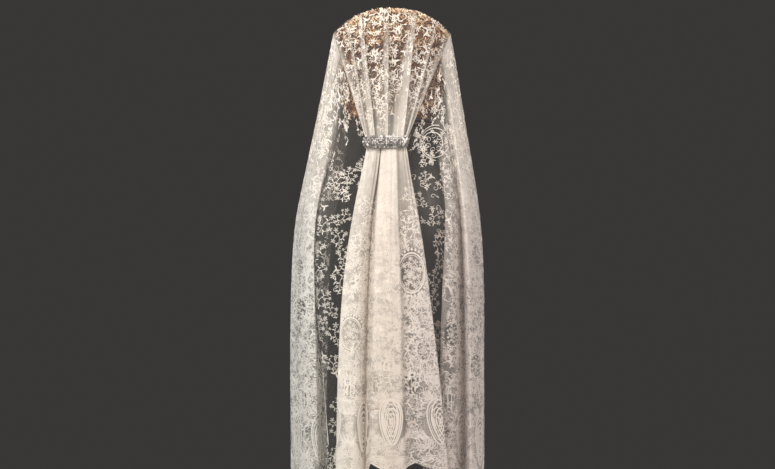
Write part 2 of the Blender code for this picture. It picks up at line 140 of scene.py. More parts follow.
# The folds in front are the same on both sides but for their places across.
frontFolds = (   # rise, depths, hem, turns, hidden layers
    (1.18, (84, 92, 84, 78, 76), -864, 1, 0.05), (1.36, (122, 132, 132, 130, 128), -856, 1, 0.05),
    (1.52, (120, 124, 110, 104, 100), -846, 1, 0.05), (1.68, (146, 162, 162, 158, 156), -834, 2, 0.05),
    (1.84, (136, 144, 132, 126, 124), -820, 1, 0.05), (2.00, (150, 170, 166, 160, 156), -800, 1, 0.1),
)
frontAcross = {
    "left": ((-208, -231, -236, -235, -233), (-188, -216, -224, -226, -226), (-170, -196, -200, -202, -203),
             (-154, -182, -188, -190, -191), (-136, -164, -170, -172, -173), (-116, -146, -154, -157, -160)),
    "right": ((197, 212, 216, 215, 213), (178, 200, 206, 207, 207), (163, 182, 184, 185, 186),
              (149, 170, 173, 174, 175), (133, 154, 156, 157, 158), (115, 138, 142, 144, 146)),
}
for side, places in frontAcross.items():
    hangs[side] += tuple(hang(rise, xs, ys, hem, turns, full, full)
                         for xs, (rise, ys, hem, turns, full) in zip(places, frontFolds))

# Folds of the crown: place across the crest, point of the front edge, height of the fold.
crownFolds = (
    (-139, temple["left"], 0), (-104, (-92, 146, 54), 12), (-70, (-72, 156, 66), -8),
    (-34, (-40, 166, 78), 10), (0, (0, 170, 82), -6), (34, (40, 166, 78), 10),
    (70, (72, 156, 66), -8), (104, (92, 146, 54), 12), (139, temple["right"], 0),
)
crownShares = (0.0, 0.06, 0.36, 0.70, 1.0)
crownSag = (0.0, 0.0, 16.0, 12.0, 0.0)
crownRise = (0.0, 8.0, 6.0, 0.0, 0.0)
crownFull = (-0.5, 0.5, 0.6, 0.5, 0.4)


def crestPoint(x):
    # the cloth's line over the comb: a flat-topped arch bent round the comb's radius and leaning back
    share = min(abs(x * mm) / crest["half"], 1)
    z = crest["corner"] + (crest["middle"] - crest["corner"]) * (1 - share ** comb["power"])
    y = crest["radius"] - math.sqrt(crest["radius"] ** 2 - (x * mm) ** 2) - z * comb["lean"]
    return np.array((x, y / mm, z / mm))


def fanColumns():
    # each pleat runs straight from crest to clasp, pushed back by its wrap and its swelling height
    columns, full = [], []
    for p in fanPleats:
        top = crestPoint(p.crestX)
        y = foot["y"] + foot["bow"] * ((p.claspX - foot["middle"]) / foot["half"]) ** 2
        low = np.array((p.claspX, y, foot["z"]))
        bend = 1 - min(abs(p.crestX * mm) / crest["half"], 1) ** 6
        line = [top * (1 - d) + low * d - np.array((0, wrap * bend + swell * p.height, 0))
                for d, wrap, swell in fanLine]
        columns += [line] * p.turns
        full += [[times * p.full + plus for times, plus in fanFull]] * p.turns
    return columns, full


def tailLine(f):
    # one fold of the tail from the clasp to the hem, which hangs lower on the left panel
    hem = tailHem - tailLeft["drop"] * (f.xs[-1] < tailLeft["edge"])
    return [(x, face + f.depth * grow, z) for x, face, grow, z
            in zip(f.xs, tailFace, tailGrowth, (foot["z"], *levels, hem))]


def tailColumns():
    # a column for each turn of each fold; the left panel is fuller low down, the middle thinner
    columns, full = [], []
    for f in tailFolds:
        left = f.xs[-1] < tailLeft["edge"]
        low = f.full + (tailLeft["fullLow"] if left else tailLeft["fullElsewhere"] * (f.full > 0.8))
        columns += [tailLine(f)] * f.turns
        full += [[0.93, f.full + 0.1, f.full, f.full + tailLeft["full"] * left, low, low]] * f.turns
    return columns, full


def topSeam(side, rise):
    # along the fan's edge from the clasp to the comb's corner, then along the crown to the temple
    sign = -1 if side == "left" else 1
    corner, low = crestPoint(sign * 139), np.array(fanFoot[side], float)
    if rise < 0:
        return low + np.array((sign * 90 * rise, 8 - 20 * rise, 0))
    if rise <= 1:
        return low + (corner - low) * rise
    return corner + (np.array(temple[side]) - corner) * (rise - 1)


def fallColumns(side):
    # the tail's outer fold first, then a column for each turn of each hanging fold
    columns, full = [tailLine(tailFolds[0 if side == "left" else -1])], [[0.5] * 6]
    for h in hangs[side]:
        line = [tuple(topSeam(side, h.rise)), *zip(h.xs, h.ys, (*levels, h.hem))]
        columns += [line] * h.turns
        start = h.fullTop * 0.3 - 0.3 if h.rise < 0.8 else h.fullTop * 0.8
        full += [[start, h.fullTop, h.fullTop, h.fullLow, h.fullLow, h.fullLow + 0.1]] * h.turns
    return columns, full


def crownColumns():
    # each fold from the crest to the front edge, its height a half sine, raised and sagging between
    columns = []
    for x, edge, lift in crownFolds:
        line = []
        for share, sag, rise in zip(crownShares, crownSag, crownRise):
            point = crestPoint(x) * (1 - share) + np.array(edge, float) * share
            point[2] += (lift != 0) * (lift * math.sin(math.pi * share) + rise - sag)
            line.append(point)
        columns.append(line)
    return columns, [crownFull] * len(columns)


def splineWeights(rows, places):
    # weights of a uniform cubic B-spline that starts and ends on its first and last control row
    first = np.minimum(places.astype(int), rows - 2)
    f = places - first
    weights = np.zeros((len(places), rows + 2))
    pieces = ((1 - f) ** 3, 4 - 6 * f**2 + 3 * f**3, 1 + 3 * f + 3 * f**2 - 3 * f**3, f**3)
    for step, piece in enumerate(pieces):
        weights[np.arange(len(places)), first + step] += piece / 6
    weights[:, 1] += 2 * weights[:, 0]
    weights[:, 2] -= weights[:, 0]
    weights[:, -2] += 2 * weights[:, -1]
    weights[:, -3] -= weights[:, -1]
    return weights[:, 1:-1]


def gridNormals(points):
    # the cross product of the slopes down and across, made one long
    normal = np.cross(np.gradient(points, axis=0), np.gradient(points, axis=1))
    return normal / np.maximum(np.linalg.norm(normal, axis=2, keepdims=True), 1e-12)


def smooth(x):
    # three squares less two cubes, from 0 to 1
    x = np.clip(x, 0, 1)
    return x * x * (3 - 2 * x)


def running(steps):
    # the sum of the steps so far, from 0
    return np.concatenate(([0], np.cumsum(steps)))


def weave(columns, full, ripples, streaks=(0, 0, 0.1)):
    # the sheet through a net of control points, sampled evenly along the cloth in both directions;
    # every ripple is a sine across the cloth that leans and fades down it, moved along the normal;
    # streaks are narrow bell curves across the cloth: their number, strength and reach down it
    net = np.array(columns, float).transpose(1, 0, 2) * mm
    dense = np.array(full, float).T
    rows, count = net.shape[:2]
    fineDown, fineAcross = np.linspace(0, rows - 1, 200), np.linspace(0, count - 1, 1400)
    down, across = splineWeights(rows, fineDown), splineWeights(count, fineAcross)
    fine = np.einsum("dl,lfk,af->dak", down, net, across)
    steps = np.linalg.norm(np.diff(fine, axis=1), axis=2)
    widest = steps.sum(1).max()
    cumAcross = running(steps.mean(0))
    cumAcross *= widest / cumAcross[-1]
    cumDown = running(np.linalg.norm(np.diff(fine, axis=0), axis=2).mean(1))
    length = cumDown[-1]
    nu, nv = round(widest / cut["stepAcross"]), round(length / cut["stepDown"])
    u, v = np.linspace(0, widest, nu + 1), np.linspace(0, length, nv + 1)
    across = splineWeights(count, np.interp(u, cumAcross, fineAcross))
    down = splineWeights(rows, np.interp(v, cumDown, fineDown))
    points = np.einsum("dl,lfk,af->dak", down, net, across)
    fullness = np.einsum("dl,lf,af->da", down, dense, across)
    # squash: how much of the cloth's own width stands in a width of the surface, averaged over neighbours
    apart = np.linalg.norm(np.diff(points, axis=1), axis=2)
    apart = np.concatenate([apart, apart[:, -1:]], axis=1) / (u[1] - u[0])
    near = cut["squashNear"]
    total = np.cumsum(np.pad(apart, ((0, 0), (near + 1, near)), mode="edge"), axis=1)
    window = total[:, 2 * near + 1:] - total[:, :-2 * near - 1]
    squash = np.clip((2 * near + 1) / np.maximum(window, 1e-6), 0.8, cut["squashMost"])
    uu, vv = np.meshgrid(u, v)
    shift = np.zeros_like(uu)
    for wave, height, lean, phase, fadeDown, grow in ripples:
        turn = 2 * math.pi * (uu / wave + phase + lean * np.sin(vv * 9 + phase * 20))
        strength = height * np.exp(-vv / fadeDown) + grow * vv / length
        shift += strength * np.sin(turn) * (0.6 + 0.4 * np.sin(uu * 31 + vv * 17 + phase * 40))
    number, strength, reach = streaks
    for centre, wide, own in zip(rng.uniform(0, widest, number), rng.uniform(0.0016, 0.0045, number),
                                 rng.uniform(0.4, 1.0, number)):
        bell = np.exp(-((uu - centre - 0.004 * np.sin(vv * 11 + centre * 60)) / wide) ** 2)
        bell = bell * np.clip(fullness * 3, 0, 1)
        fade = np.exp(-vv / reach) if reach > 0 else np.exp(-(length - vv) / -reach)
        fullness = fullness + strength * own * bell * fade * (1 - fullness)
        shift = shift + 0.0016 * own * bell * fade
    shift *= smooth(vv / 0.03) * smooth(uu / 0.01) * smooth((widest - uu) / 0.01)
    points = points + gridNormals(points) * shift[..., None]
    return {"points": points, "normals": gridNormals(points), "full": np.clip(fullness, -0.8, 0.97),
            "squash": squash, "width": widest, "length": length, "u": u, "v": v}


def lookUp(cloth, field, u, v):
    # bilinear reading of one of the sheet's fields at cloth coordinates
    nv, nu = field.shape[:2]
    x = np.clip(np.asarray(u) / cloth["width"] * (nu - 1), 0, nu - 1.001)
    y = np.clip(np.asarray(v) / cloth["length"] * (nv - 1), 0, nv - 1.001)
    i, j = x.astype(int), y.astype(int)
    fx, fy = (x - i)[..., None], (y - j)[..., None]
    top = field[j, i] * (1 - fx) + field[j, i + 1] * fx
    low = field[j + 1, i] * (1 - fx) + field[j + 1, i + 1] * fx
    return top * (1 - fy) + low * fy


def place(cloth, u, v, lift=0.0):
    # the sheet at cloth coordinates, lifted off it along its normal
    point, normal = (lookUp(cloth, cloth[field], u, v) for field in ("points", "normals"))
    return point + normal * np.asarray(lift)[..., None]


def squashAt(cloth, u, v):
    # the squash of the grid place before cloth coordinates
    i = np.clip(u / cloth["width"] * (len(cloth["u"]) - 1), 0, len(cloth["u"]) - 1).astype(int)
    j = np.clip(v / cloth["length"] * (len(cloth["v"]) - 1), 0, len(cloth["v"]) - 1).astype(int)
    return cloth["squash"][j, i]


def roundShare(u, v, squash, spot):
    # square of the distance from a medallion's middle, over that of a plain oval of size 1
    return ((u - spot[0]) / squash / cut["roundWide"]) ** 2 + ((v - spot[1]) / cut["roundTall"]) ** 2


def scallopCount(start, stop):
    # the whole number of scallops nearest their usual width
    return max(1, round((stop - start) / cut["scallopWidth"]))


def hemLine(cloth, u):
    # scallops: the hem rises between them by the depth, as one less the size of a sine
    rise = np.zeros_like(u)
    for start, stop in cloth.get("hems", ()):
        wave = np.abs(np.sin(math.pi * scallopCount(start, stop) * (u - start) / (stop - start)))
        rise = np.where((u >= start) & (u <= stop), cut["scallopDepth"] * (1 - wave), rise)
    return cloth["length"] - rise


def meshFrom(name, points, quads, uv=None, values=None):
    # a smooth mesh of quads, its UV map and values given for each point
    mesh = bpy.data.meshes.new(name)
    points, quads = points.reshape(-1, 3), quads.reshape(-1, 4)
    mesh.vertices.add(len(points))
    mesh.vertices.foreach_set("co", points.astype(np.float32).ravel())
    mesh.loops.add(quads.size)
    mesh.loops.foreach_set("vertex_index", quads.astype(np.int32).ravel())
    mesh.polygons.add(len(quads))
    mesh.polygons.foreach_set("loop_start", np.arange(0, quads.size, 4, dtype=np.int32))
    mesh.update(calc_edges=True)
    mesh.validate()
    mesh.shade_smooth()
    if uv is not None:
        layer = mesh.uv_layers.new(name="cloth")
        layer.data.foreach_set("uv", uv.reshape(-1, 2)[quads.ravel()].astype(np.float32).ravel())
    for key, value in (values or {}).items():
        attribute = mesh.attributes.new(key, "FLOAT", "POINT")
        attribute.data.foreach_set("value", value.astype(np.float32).ravel())
    thing = bpy.data.objects.new(name, mesh)
    bpy.context.scene.collection.objects.link(thing)
    return thing


def netSheet(name, cloth, ground, rounds=()):
    # ground: how densely the net itself is worked, from the share across and the distance down;
    # rounds: u, v and size of the medallions, where it is left plain and shows fewer layers
    nv, nu = cloth["points"].shape[:2]
    uu, vv = np.meshgrid(cloth["u"], cloth["v"])
    low = cloth["length"] - cut["hemPull"]
    pulled = np.where(vv > low, low + (vv - low) * (hemLine(cloth, uu) - low) / cut["hemPull"], vv)
    uv = np.stack([uu, cloth["length"] - pulled], axis=-1)
    worked, full = ground(uu / cloth["width"], vv) + 0 * uu, cloth["full"]
    for *spot, size in rounds:
        outside = smooth((roundShare(uu, vv, cloth["squash"], spot) / size ** 2 - 0.75) / 0.45)
        worked, full = worked * outside, full - cut["roundThin"] * (1 - outside)
    corner = (np.arange(nv - 1)[:, None] * nu + np.arange(nu - 1)).reshape(-1, 1)
    quads = corner + np.array([0, nu, nu + 1, 1])
    return meshFrom(name, place(cloth, uu, pulled), quads, uv, {"fullness": full, "ground": worked})


# Lace motifs are drawn flat in the cloth's own coordinates. A motif is a dictionary from a number of
# points to an array of lines (line, point, (u, v, half width)).
def joined(*motifs):
    # one motif of all their lines
    keys = sorted({key for motif in motifs for key in motif})
    return {key: np.concatenate([motif[key] for motif in motifs if key in motif]) for key in keys}


def thinner(motif, share):
    # the same lines, their half widths times the share
    return {key: lines * (1, 1, share) for key, lines in motif.items()}


def placed(motif, spots, cloth=None):
    # copies of a motif at rows of (u, v, turn, size, mirror); on a cloth, widened by its squash there
    spots = np.atleast_2d(spots).astype(float)
    widen = np.ones(len(spots)) if cloth is None else squashAt(cloth, spots[:, 0], spots[:, 1])
    u0, v0, turn, size, mirror, widen = (column[:, None, None] for column in (*spots.T, widen))
    cos, sin = np.cos(turn), np.sin(turn)
    out = {}
    for key, lines in motif.items():
        x = lines[None, ..., 0] * mirror
        y = lines[None, ..., 1] + 0 * x
        u, v = u0 + widen * size * (x * cos - y * sin), v0 + size * (x * sin + y * cos)
        out[key] = np.stack([u, v, lines[None, ..., 2] * size + 0 * u], axis=-1).reshape(-1, key, 3)
    return out


def mirrored(motif, x, y, turn=0.0, size=1.0):
    # a motif and its mirror image across the middle line
    return placed(motif, [(x, y, turn, size, 1), (-x, y, -turn, size, -1)])


def leaves(starts, ends, wide, bow=0.12):
    # leaf: a bowed line whose half width is a sine of the share along it, fullest below the middle
    starts, ends = np.atleast_2d(starts).astype(float), np.atleast_2d(ends).astype(float)
    t = np.linspace(0, 1, 5)[:, None]
    along = (ends - starts)[:, None]
    off = np.stack([-along[..., 1], along[..., 0]], axis=-1)
    line = starts[:, None] + along * t + off * bow * 4 * t * (1 - t)
    size = np.linalg.norm(along, axis=2)[:, :, None]
    half = wide * size * np.sin(math.pi * np.clip(t ** 0.8, 0.06, 0.95)) * 0.5
    return {5: np.concatenate([line, np.broadcast_to(half, (*line.shape[:2], 1))], axis=2)}


def cords(lines, half, points=13, taper=0.0):
    # cord: each line of points sampled evenly by share, with an even or tapering half width
    width = half * (1 - taper * np.linspace(0, 1, points))[:, None]
    made = []
    for line in lines:
        line = np.array(line, float)
        weights = splineWeights(len(line), np.linspace(0, len(line) - 1, points))
        made.append(np.concatenate([weights @ line, width], axis=1))
    return {points: np.array(made)}


def rays(count, turn=0.0):
    # directions evenly round a circle
    angle = turn + np.arange(count) * 2 * math.pi / count
    return np.stack([np.cos(angle), np.sin(angle)], axis=1)


def arc(begin, end, points):
    # directions along part of a circle, from one angle to another
    angle = np.linspace(begin, end, points)
    return np.stack([np.cos(angle), np.sin(angle)], axis=1)


def ringAt(centre, rx, ry, half, points=25):
    # an ellipse of even width
    line = np.array(centre) + arc(0, 2 * math.pi, points) * (rx, ry)
    return {points: np.concatenate([line, np.full((points, 1), half)], axis=1)[None]}


def flower(x=0.0, y=0.0, radius=0.0075, count=5, turn=0.0, half=0.0006):
    # open petals, closed loops that start and end near the centre, round a small solid heart
    centre, ray = np.array((x, y)), rays(count, turn)
    t = np.linspace(0, 2 * math.pi, 8)
    inner, heart = radius * 0.16, (radius * 0.2, 0)
    reach = inner + (radius - inner) * (1 - np.cos(t)) / 2
    sway = 1.15 / count * radius * np.sin(t) * (0.55 - 0.45 * np.cos(t))
    side = np.stack([-ray[:, 1], ray[:, 0]], axis=1)
    line = centre + ray[:, None] * reach[:, None] + side[:, None] * sway[:, None]
    petals = {8: np.concatenate([line, np.full((*line.shape[:2], 1), half)], axis=2)}
    return joined(petals, leaves(centre - heart, centre + heart, 1.0, 0))


def bud(x=0.0, y=0.0, radius=0.005, count=5, turn=0.0):
    # small solid petals
    centre, ray = np.array((x, y)), rays(count, turn)
    return leaves(centre + ray * radius * 0.12, centre + ray * radius, 0.42, 0.05)


def scrollCord(turns=1.1, radius=0.014, half=0.0011, points=17):
    # a spiral whose radius falls evenly as it turns in
    spiral = arc(0, turns * 2 * math.pi, 12) * (radius * (1 - 0.8 * np.linspace(0, 1, 12)))[:, None]
    return cords([spiral], half, points, 0.5)


def sprigMotif():
    # a bowed stem with paired leaves, side shoots, open flowers and buds
    stem = cords([[(0, 0), (0.006, -0.018), (-0.003, -0.036), (0.008, -0.058)]], 0.0007)
    shoots = cords([[(0.003, -0.012), (0.014, -0.018), (0.020, -0.027)],
                    [(-0.001, -0.030), (-0.012, -0.034), (-0.019, -0.044)],
                    [(0.001, -0.042), (0.011, -0.046), (0.018, -0.052)]], 0.0006, 7)
    flowers = ((0.009, -0.065, 0.0085, 5, 0), (0.022, -0.031, 0.0078, 5, 0.4),
               (-0.021, -0.047, 0.0082, 6, 0.2))
    buds = ((0.022, -0.056, 0.006, 5, 0.9), (-0.005, -0.020, 0.0058, 5, 0.5), (0.011, -0.044, 0.0048, 4, 0.3),
            (-0.010, -0.058, 0.005, 5, 1.0))
    starts = np.array([(0.001, -0.004), (0.002, -0.007), (0.005, -0.022), (0, -0.031), (0.004, -0.05),
                       (-0.009, -0.033), (0.012, -0.017), (-0.013, -0.036), (0.013, -0.047)])
    ends = starts + np.array([(0.009, -0.001), (-0.010, -0.002), (0.010, 0.002), (-0.009, 0.004),
                              (-0.009, -0.004), (-0.006, 0.009), (0.004, 0.009), (-0.002, -0.010),
                              (0.003, 0.008)])
    return joined(stem, shoots, *(flower(*f) for f in flowers), *(bud(*b) for b in buds),
                  leaves(starts, ends, 0.34))


def shellMotif(reach=0.034, ribs=9):
    # a half shell: arcs one inside the other and ribs fanned between them
    ray = arc(0.25, math.pi - 0.25, ribs) * (1, -1) * reach
    rim = arc(0.1, math.pi - 0.1, 9) * (1, -1) * reach
    return joined(leaves(ray * 0.35, ray * 0.78, 0.17, 0), leaves(ray * 0.88, ray * 1.06, 0.42, 0),
                  cords([rim * 0.82, rim * 0.3], 0.0007),
                  mirrored(scrollCord(1.1, 0.009, 0.0008, 13), reach * 0.9, 0.004))


def plumeMotif(length=0.05, pairs=7):
    # a feather: a bowed spine with barbs that lengthen to the middle and lean along it
    spine = cords([[(0, 0), (0.004, -length * 0.4), (0, -length)]], 0.0008)
    t = np.linspace(0.08, 0.92, pairs)
    roots = np.stack([0.016 * t * (1 - t), -length * t], axis=1)
    reach = length * 0.34 * np.sin(math.pi * (0.15 + 0.8 * t))
    right, left = (roots + np.stack([side * reach, -reach * 0.75], axis=1) for side in (1, -1))
    return joined(spine, leaves(roots, right, 0.24, 0.15), leaves(roots, left, 0.24, -0.15))


def medallionMotif(rx=0.030, ry=0.046, frillCount=28, blooms=16):
    # an oval of two cords with a bouquet inside, petals round it and plumes at its ends;
    # the flowers of the bouquet stand on a sunflower spiral
    ray = rays(frillCount)
    size = np.array((rx, ry))
    frill = leaves(ray * size * 1.1, ray * size * 1.1 + ray * 0.0075, 0.75, 0)
    spots = [(*ray[k] * size * 1.3, math.atan2(ray[k, 1], ray[k, 0]) + math.pi / 2, 1, 1)
             for k in (2, 5, 9, 12, 16, 19, 23, 26)]
    plumes = placed(plumeMotif(0.034), spots)
    made = []
    for n in range(1, blooms + 1):
        r, turn = 0.9 * 0.86 * math.sqrt(n / 17.5), goldenAngle * n
        made.append(flower(rx * r * math.cos(turn), ry * r * math.sin(turn), rx * (0.24 if n % 3 else 0.17),
                           5 + n % 2, n))
    return joined(ringAt((0, 0), rx, ry, 0.0020), ringAt((0, 0), rx * 0.88, ry * 0.88, 0.0008), frill, plumes,
                  *made, flower(0, 0, rx * 0.26, 8))


def wreathMotif(radius=0.040):
    # loose arcs that don't quite close, with scrolls, leaves and small flowers along them
    arcs = ((1.0, 0.3, 5.9, 0.0), (1.17, 1.6, 4.9, 0.004), (0.72, 2.4, 7.6, -0.006), (1.3, -0.9, 0.9, 0.006))
    made = [cords([arc(begin, end, 16) * (far * radius, far * radius * 1.08) + (shift, 0)], 0.0011, 25, 0.3)
            for far, begin, end, shift in arcs]
    ray, angle = rays(7) * radius, np.arange(7) * 2 * math.pi / 7
    spots = list(zip(ray, angle))
    made.append(placed(scrollCord(1.2, 0.012, 0.0009, 13), [(*p * 0.5, a, 0.8, 1) for p, a in spots]))
    made.append(placed(plumeMotif(0.032), [(*p * 1.1, a + 1.2, 0.7, 1) for p, a in spots[::2]]))
    made += [flower(*(p * 0.86), radius * 0.15) for p in ray] + [flower(0.002, -0.003, radius * 0.2, 6)]
    return joined(*made)


def archMotif(width=0.034, height=0.086):
    # nested pointed ovals, as stand over the scallops of a border
    turn = np.linspace(0, 2 * math.pi, 13)
    made = []
    for k, half in ((1.0, 0.0017), (0.82, 0.0009), (0.62, 0.0013), (0.40, 0.0010), (0.20, 0.0012)):
        x = width / 2 * k * np.sin(turn) * (0.72 + 0.28 * np.cos(turn))
        made.append(cords([np.stack([x, -height / 2 * k * np.cos(turn)], axis=1)], half, 25))
    return joined(*made)


def barsMotif(count=5, width=0.034, height=0.034):
    # a row of upright petals, tallest in the middle
    x = np.linspace(-width / 2, width / 2, count)
    tall = height * (1 - 0.5 * (2 * x / width) ** 2)
    return leaves(np.stack([x, tall / 2], axis=1), np.stack([x, -tall / 2], axis=1), 0.09, 0.03)


def scallopMotif(width=0.096, depth=0.020):
    # one scallop of a border, its hem at v = 0: cords, picots, radiating petals, a flower and scrolls
    t = np.linspace(0, 1, 15)
    line = np.stack([(t - 0.5) * width, -depth * (1 - np.sin(math.pi * t))], axis=1)
    made = [cords([line + (0, -0.0017)], 0.0019, 25), cords([line * (0.97, 1) + (0, -0.0085)], 0.0007, 25)]
    middle, ray = np.array((0, -0.040)), arc(0.12, math.pi - 0.12, 13)
    made.append(leaves(middle + ray * (0.016, 0.013), middle + ray * (0.040, 0.029), 0.15, 0))
    made += [ringAt(middle, 0.014, 0.012, 0.0008, 17), flower(*middle, 0.0095, 6)]
    picots = np.interp(np.linspace(0.04, 0.96, 17), t, np.arange(15))
    picots = np.stack([np.interp(picots, np.arange(15), line[:, k]) for k in (0, 1)], axis=1) - (0, 0.0052)
    made.append(leaves(picots - (0.0022, 0), picots + (0.0022, 0), 0.7, 0))
    made.append(placed(scrollCord(1.2, 0.012), [(sign * 0.030, -0.062, 0.6, 1, sign) for sign in (-1, 1)]))
    made.append(mirrored(plumeMotif(0.032, 6), 0.016, -0.055, 0.7))
    return joined(*made)


def garland(width, v, height, step=0.13):
    # a swinging cord with leaves on both sides and a flower at each crest and crossing
    count = max(1, round(width / step))
    lean, made = np.array((0.006, 0.011)), []
    for k in range(count):
        t = np.linspace(0, 1, 13)
        swing = height * np.sin(math.pi * t) * (1 if k % 2 else -1)
        line = np.stack([width / count * (k + t), v - swing], axis=1)
        roots = line[1:-1]
        made += [cords([line], 0.0013, 25), leaves(roots, roots + lean, 0.42),
                 leaves(roots, roots + lean * (1, -1), 0.42, -0.12),
                 flower(*line[6], 0.011, 7), flower(*line[0], 0.0085, 5)]
    return joined(*made)


def wingMotif(reach=0.030, strands=6):
    # a wing: bowed cords that start together and spread, each shorter than the last
    made = []
    for n in range(strands):
        lean, far = 0.25 + 0.2 * n, reach * (1 - 0.07 * n)
        x, y = far * math.sin(lean), -far * math.cos(lean)
        made.append([(0, 0.0015 * n), (far * 0.35, y * 0.5), (x, y), (x * 1.25, y * 0.75)])
    return joined(cords(made, 0.0008, 11, 0.4), bud(0, 0.002, 0.0045))


sprig, medallion, wing, wreath = sprigMotif(), medallionMotif(), wingMotif(), wreathMotif()
plume = plumeMotif(0.030, 6)
smallMotifs = (
    joined(flower(0, 0, 0.0066, 5),
           leaves([(0.006, 0.003), (-0.006, 0.002)], [(0.013, 0.007), (-0.012, 0.006)], 0.34)),
    joined(bud(0.001, 0.001, 0.0048),
           leaves([(0, 0)] * 3, [(0.010, 0.004), (-0.009, 0.005), (0.001, -0.012)], 0.3)),
    joined(scrollCord(1.0, 0.0075, 0.0007, 13), leaves([(0.008, 0)], [(0.015, -0.006)], 0.34)),
)


def smallOnes(cloth, spots):
    # flowers, leaves and curls in turn
    return joined(*(placed(motif, spots[n::3], cloth) for n, motif in enumerate(smallMotifs)))


def thinned(cloth, spots):
    # fewer spots where the cloth is squashed, so that they stand evenly on the surface;
    # near a fall's seam with the fan, walls of folds seen edge-on stay plain
    at = spots[:, 0], spots[:, 1]
    squash = squashAt(cloth, *at)
    kept = spots[(rng.uniform(size=len(spots)) * squash < 1.1) & (squash < cut["crowded"])]
    if "turn" not in cloth:
        return kept
    at = kept[:, 0], kept[:, 1]
    facing, x = lookUp(cloth, cloth["normals"], *at)[:, 1], place(cloth, *at)[:, 0]
    seen = (np.abs(facing) > cut["edgeOn"]) | (np.abs(x) > cut["plainWide"])
    return kept[seen | (kept[:, 1] > cut["plainDown"])]


def away(cloth, spots, rounds):
    # leaves out the spots that would stand on a medallion; rounds holds u, v and size
    for *spot, size in rounds:
        squash = squashAt(cloth, spots[:, 0], spots[:, 1])
        spots = spots[roundShare(spots[:, 0], spots[:, 1], squash, spot) > size ** 2]
    return spots


def lattice(width, height, step):
    # how many columns and rows of a step fit, and the column and the row of each spot
    columns, rows = (max(1, int(size / step)) for size in (width, height))
    return columns, rows, *(grid.ravel() for grid in np.meshgrid(np.arange(columns), np.arange(rows)))


def halfDrop(width, top, bottom, step, turnSpread=0.6, sizes=(0.85, 1.15), keep=1.0):
    # spots in a half-drop repeat, each jittered, turned and mirrored from one seed
    columns, rows, i, j = lattice(width, bottom - top, step)
    u = (i + 0.5) * width / columns
    v = top + (j + 0.5 + 0.5 * (i % 2)) * (bottom - top) / rows
    n = i.size
    spots = np.stack([u + rng.uniform(-1, 1, n) * step * 0.16, v + rng.uniform(-1, 1, n) * step * 0.16,
                      rng.uniform(-1, 1, n) * turnSpread, rng.uniform(*sizes, n),
                      rng.choice((-1, 1), n)], axis=1)
    return spots[rng.uniform(size=n) < keep]


def scatter(width, top, bottom, step, density):
    # jittered spots kept with a chance that density(u share, v share) gives
    columns, rows, i, j = lattice(width, bottom - top, step)
    n = i.size
    u = (i + 0.5 + 0.5 * (j % 2) + rng.uniform(-0.3, 0.3, n)) * width / columns
    v = top + (j + 0.5 + rng.uniform(-0.3, 0.3, n)) * (bottom - top) / rows
    spots = np.stack([u, v, rng.uniform(0, 2 * math.pi, n), rng.uniform(0.8, 1.2, n),
                      rng.choice((-1, 1), n)], axis=1)
    return spots[rng.uniform(size=n) < density(u / width, v)]


def filling(cloth, top, bottom, step, density, rounds=()):
    # small motifs scattered by a density, off the medallions
    spots = thinned(cloth, scatter(cloth["width"], top, bottom, step, density))
    return smallOnes(cloth, away(cloth, spots, rounds))


def wingSpots(cloth, top, bottom, step, rounds, keep):
    # scattered spots for wings, which lean little and point up
    spots = thinned(cloth, scatter(cloth["width"], top, bottom, step, lambda u, v: keep + 0 * v))
    return away(cloth, spots, rounds) * (1, 1, 0.3, 1, 1) + (0, 0, -1.0, 0, 0)


def sideways(xy):
    # the direction across each line: its slope, joined up where the line closes, made one long and turned
    along = np.gradient(xy, axis=1)
    closed = np.linalg.norm(xy[:, 0] - xy[:, -1], axis=1) < 1e-6
    joint = (xy[:, 1] - xy[:, -2]) / 2
    along[closed, 0] = along[closed, -1] = joint[closed]
    along /= np.maximum(np.linalg.norm(along, axis=2, keepdims=True), 1e-9)
    return -along[..., 1], along[..., 0]


def stitched(name, cloth, motif):
    # every line becomes a ribbon laid on the cloth: long wide ones are cords, three points across with
    # a raised middle, and the rest are flat, two points across
    points, quads, uv, base, ribbons = [], [], [], 0, []
    cordLift = np.array([cut["cordEdge"], cut["cordLift"], cut["cordEdge"]])
    for n, lines in motif.items():
        u, v = lines[..., 0], lines[..., 1]
        edge = cut["margin"]
        inside = ((u > edge) & (u < cloth["width"] - edge) & (v > edge)
                  & (v < hemLine(cloth, u) - cut["hemMargin"])).all(axis=1)
        lines = lines[inside]
        wide = (lines[..., 2].max(axis=1) > cut["cordFrom"]) & (n > 8)
        ribbons += [(n, lines[wide], np.array((-1.0, 0.0, 1.0)), cordLift),
                    (n, lines[~wide], np.array((-1.0, 1.0)), cut["flatLift"])]
    for n, lines, side, lift in ribbons:
        if not len(lines):
            continue
        xy, half = lines[..., :2], lines[..., 2]
        offU, offV = sideways(xy)
        off = np.stack([offU * squashAt(cloth, xy[..., 0], xy[..., 1]), offV], axis=-1)
        flat = xy[:, :, None] + off[:, :, None] * half[:, :, None, None] * side[:, None]
        points.append(place(cloth, flat[..., 0], flat[..., 1], lift + 0 * flat[..., 0]).reshape(-1, 3))
        distance = np.concatenate([np.zeros((len(xy), 1)),
                                   np.cumsum(np.linalg.norm(np.diff(xy, axis=1), axis=2), axis=1)], axis=1)
        uv.append(np.stack([distance[:, :, None] + 0 * flat[..., 0],
                            half[:, :, None] * side + 0 * flat[..., 0]], axis=-1).reshape(-1, 2))
        k = len(side)
        start = (np.arange(len(lines))[:, None, None] * n + np.arange(n - 1)[:, None]) * k + np.arange(k - 1)
        quads.append((base + start).reshape(-1, 1) + np.array([0, 1, k + 1, k]))
        base += len(lines) * n * k
    return meshFrom(name, np.concatenate(points), np.concatenate(quads), np.concatenate(uv))
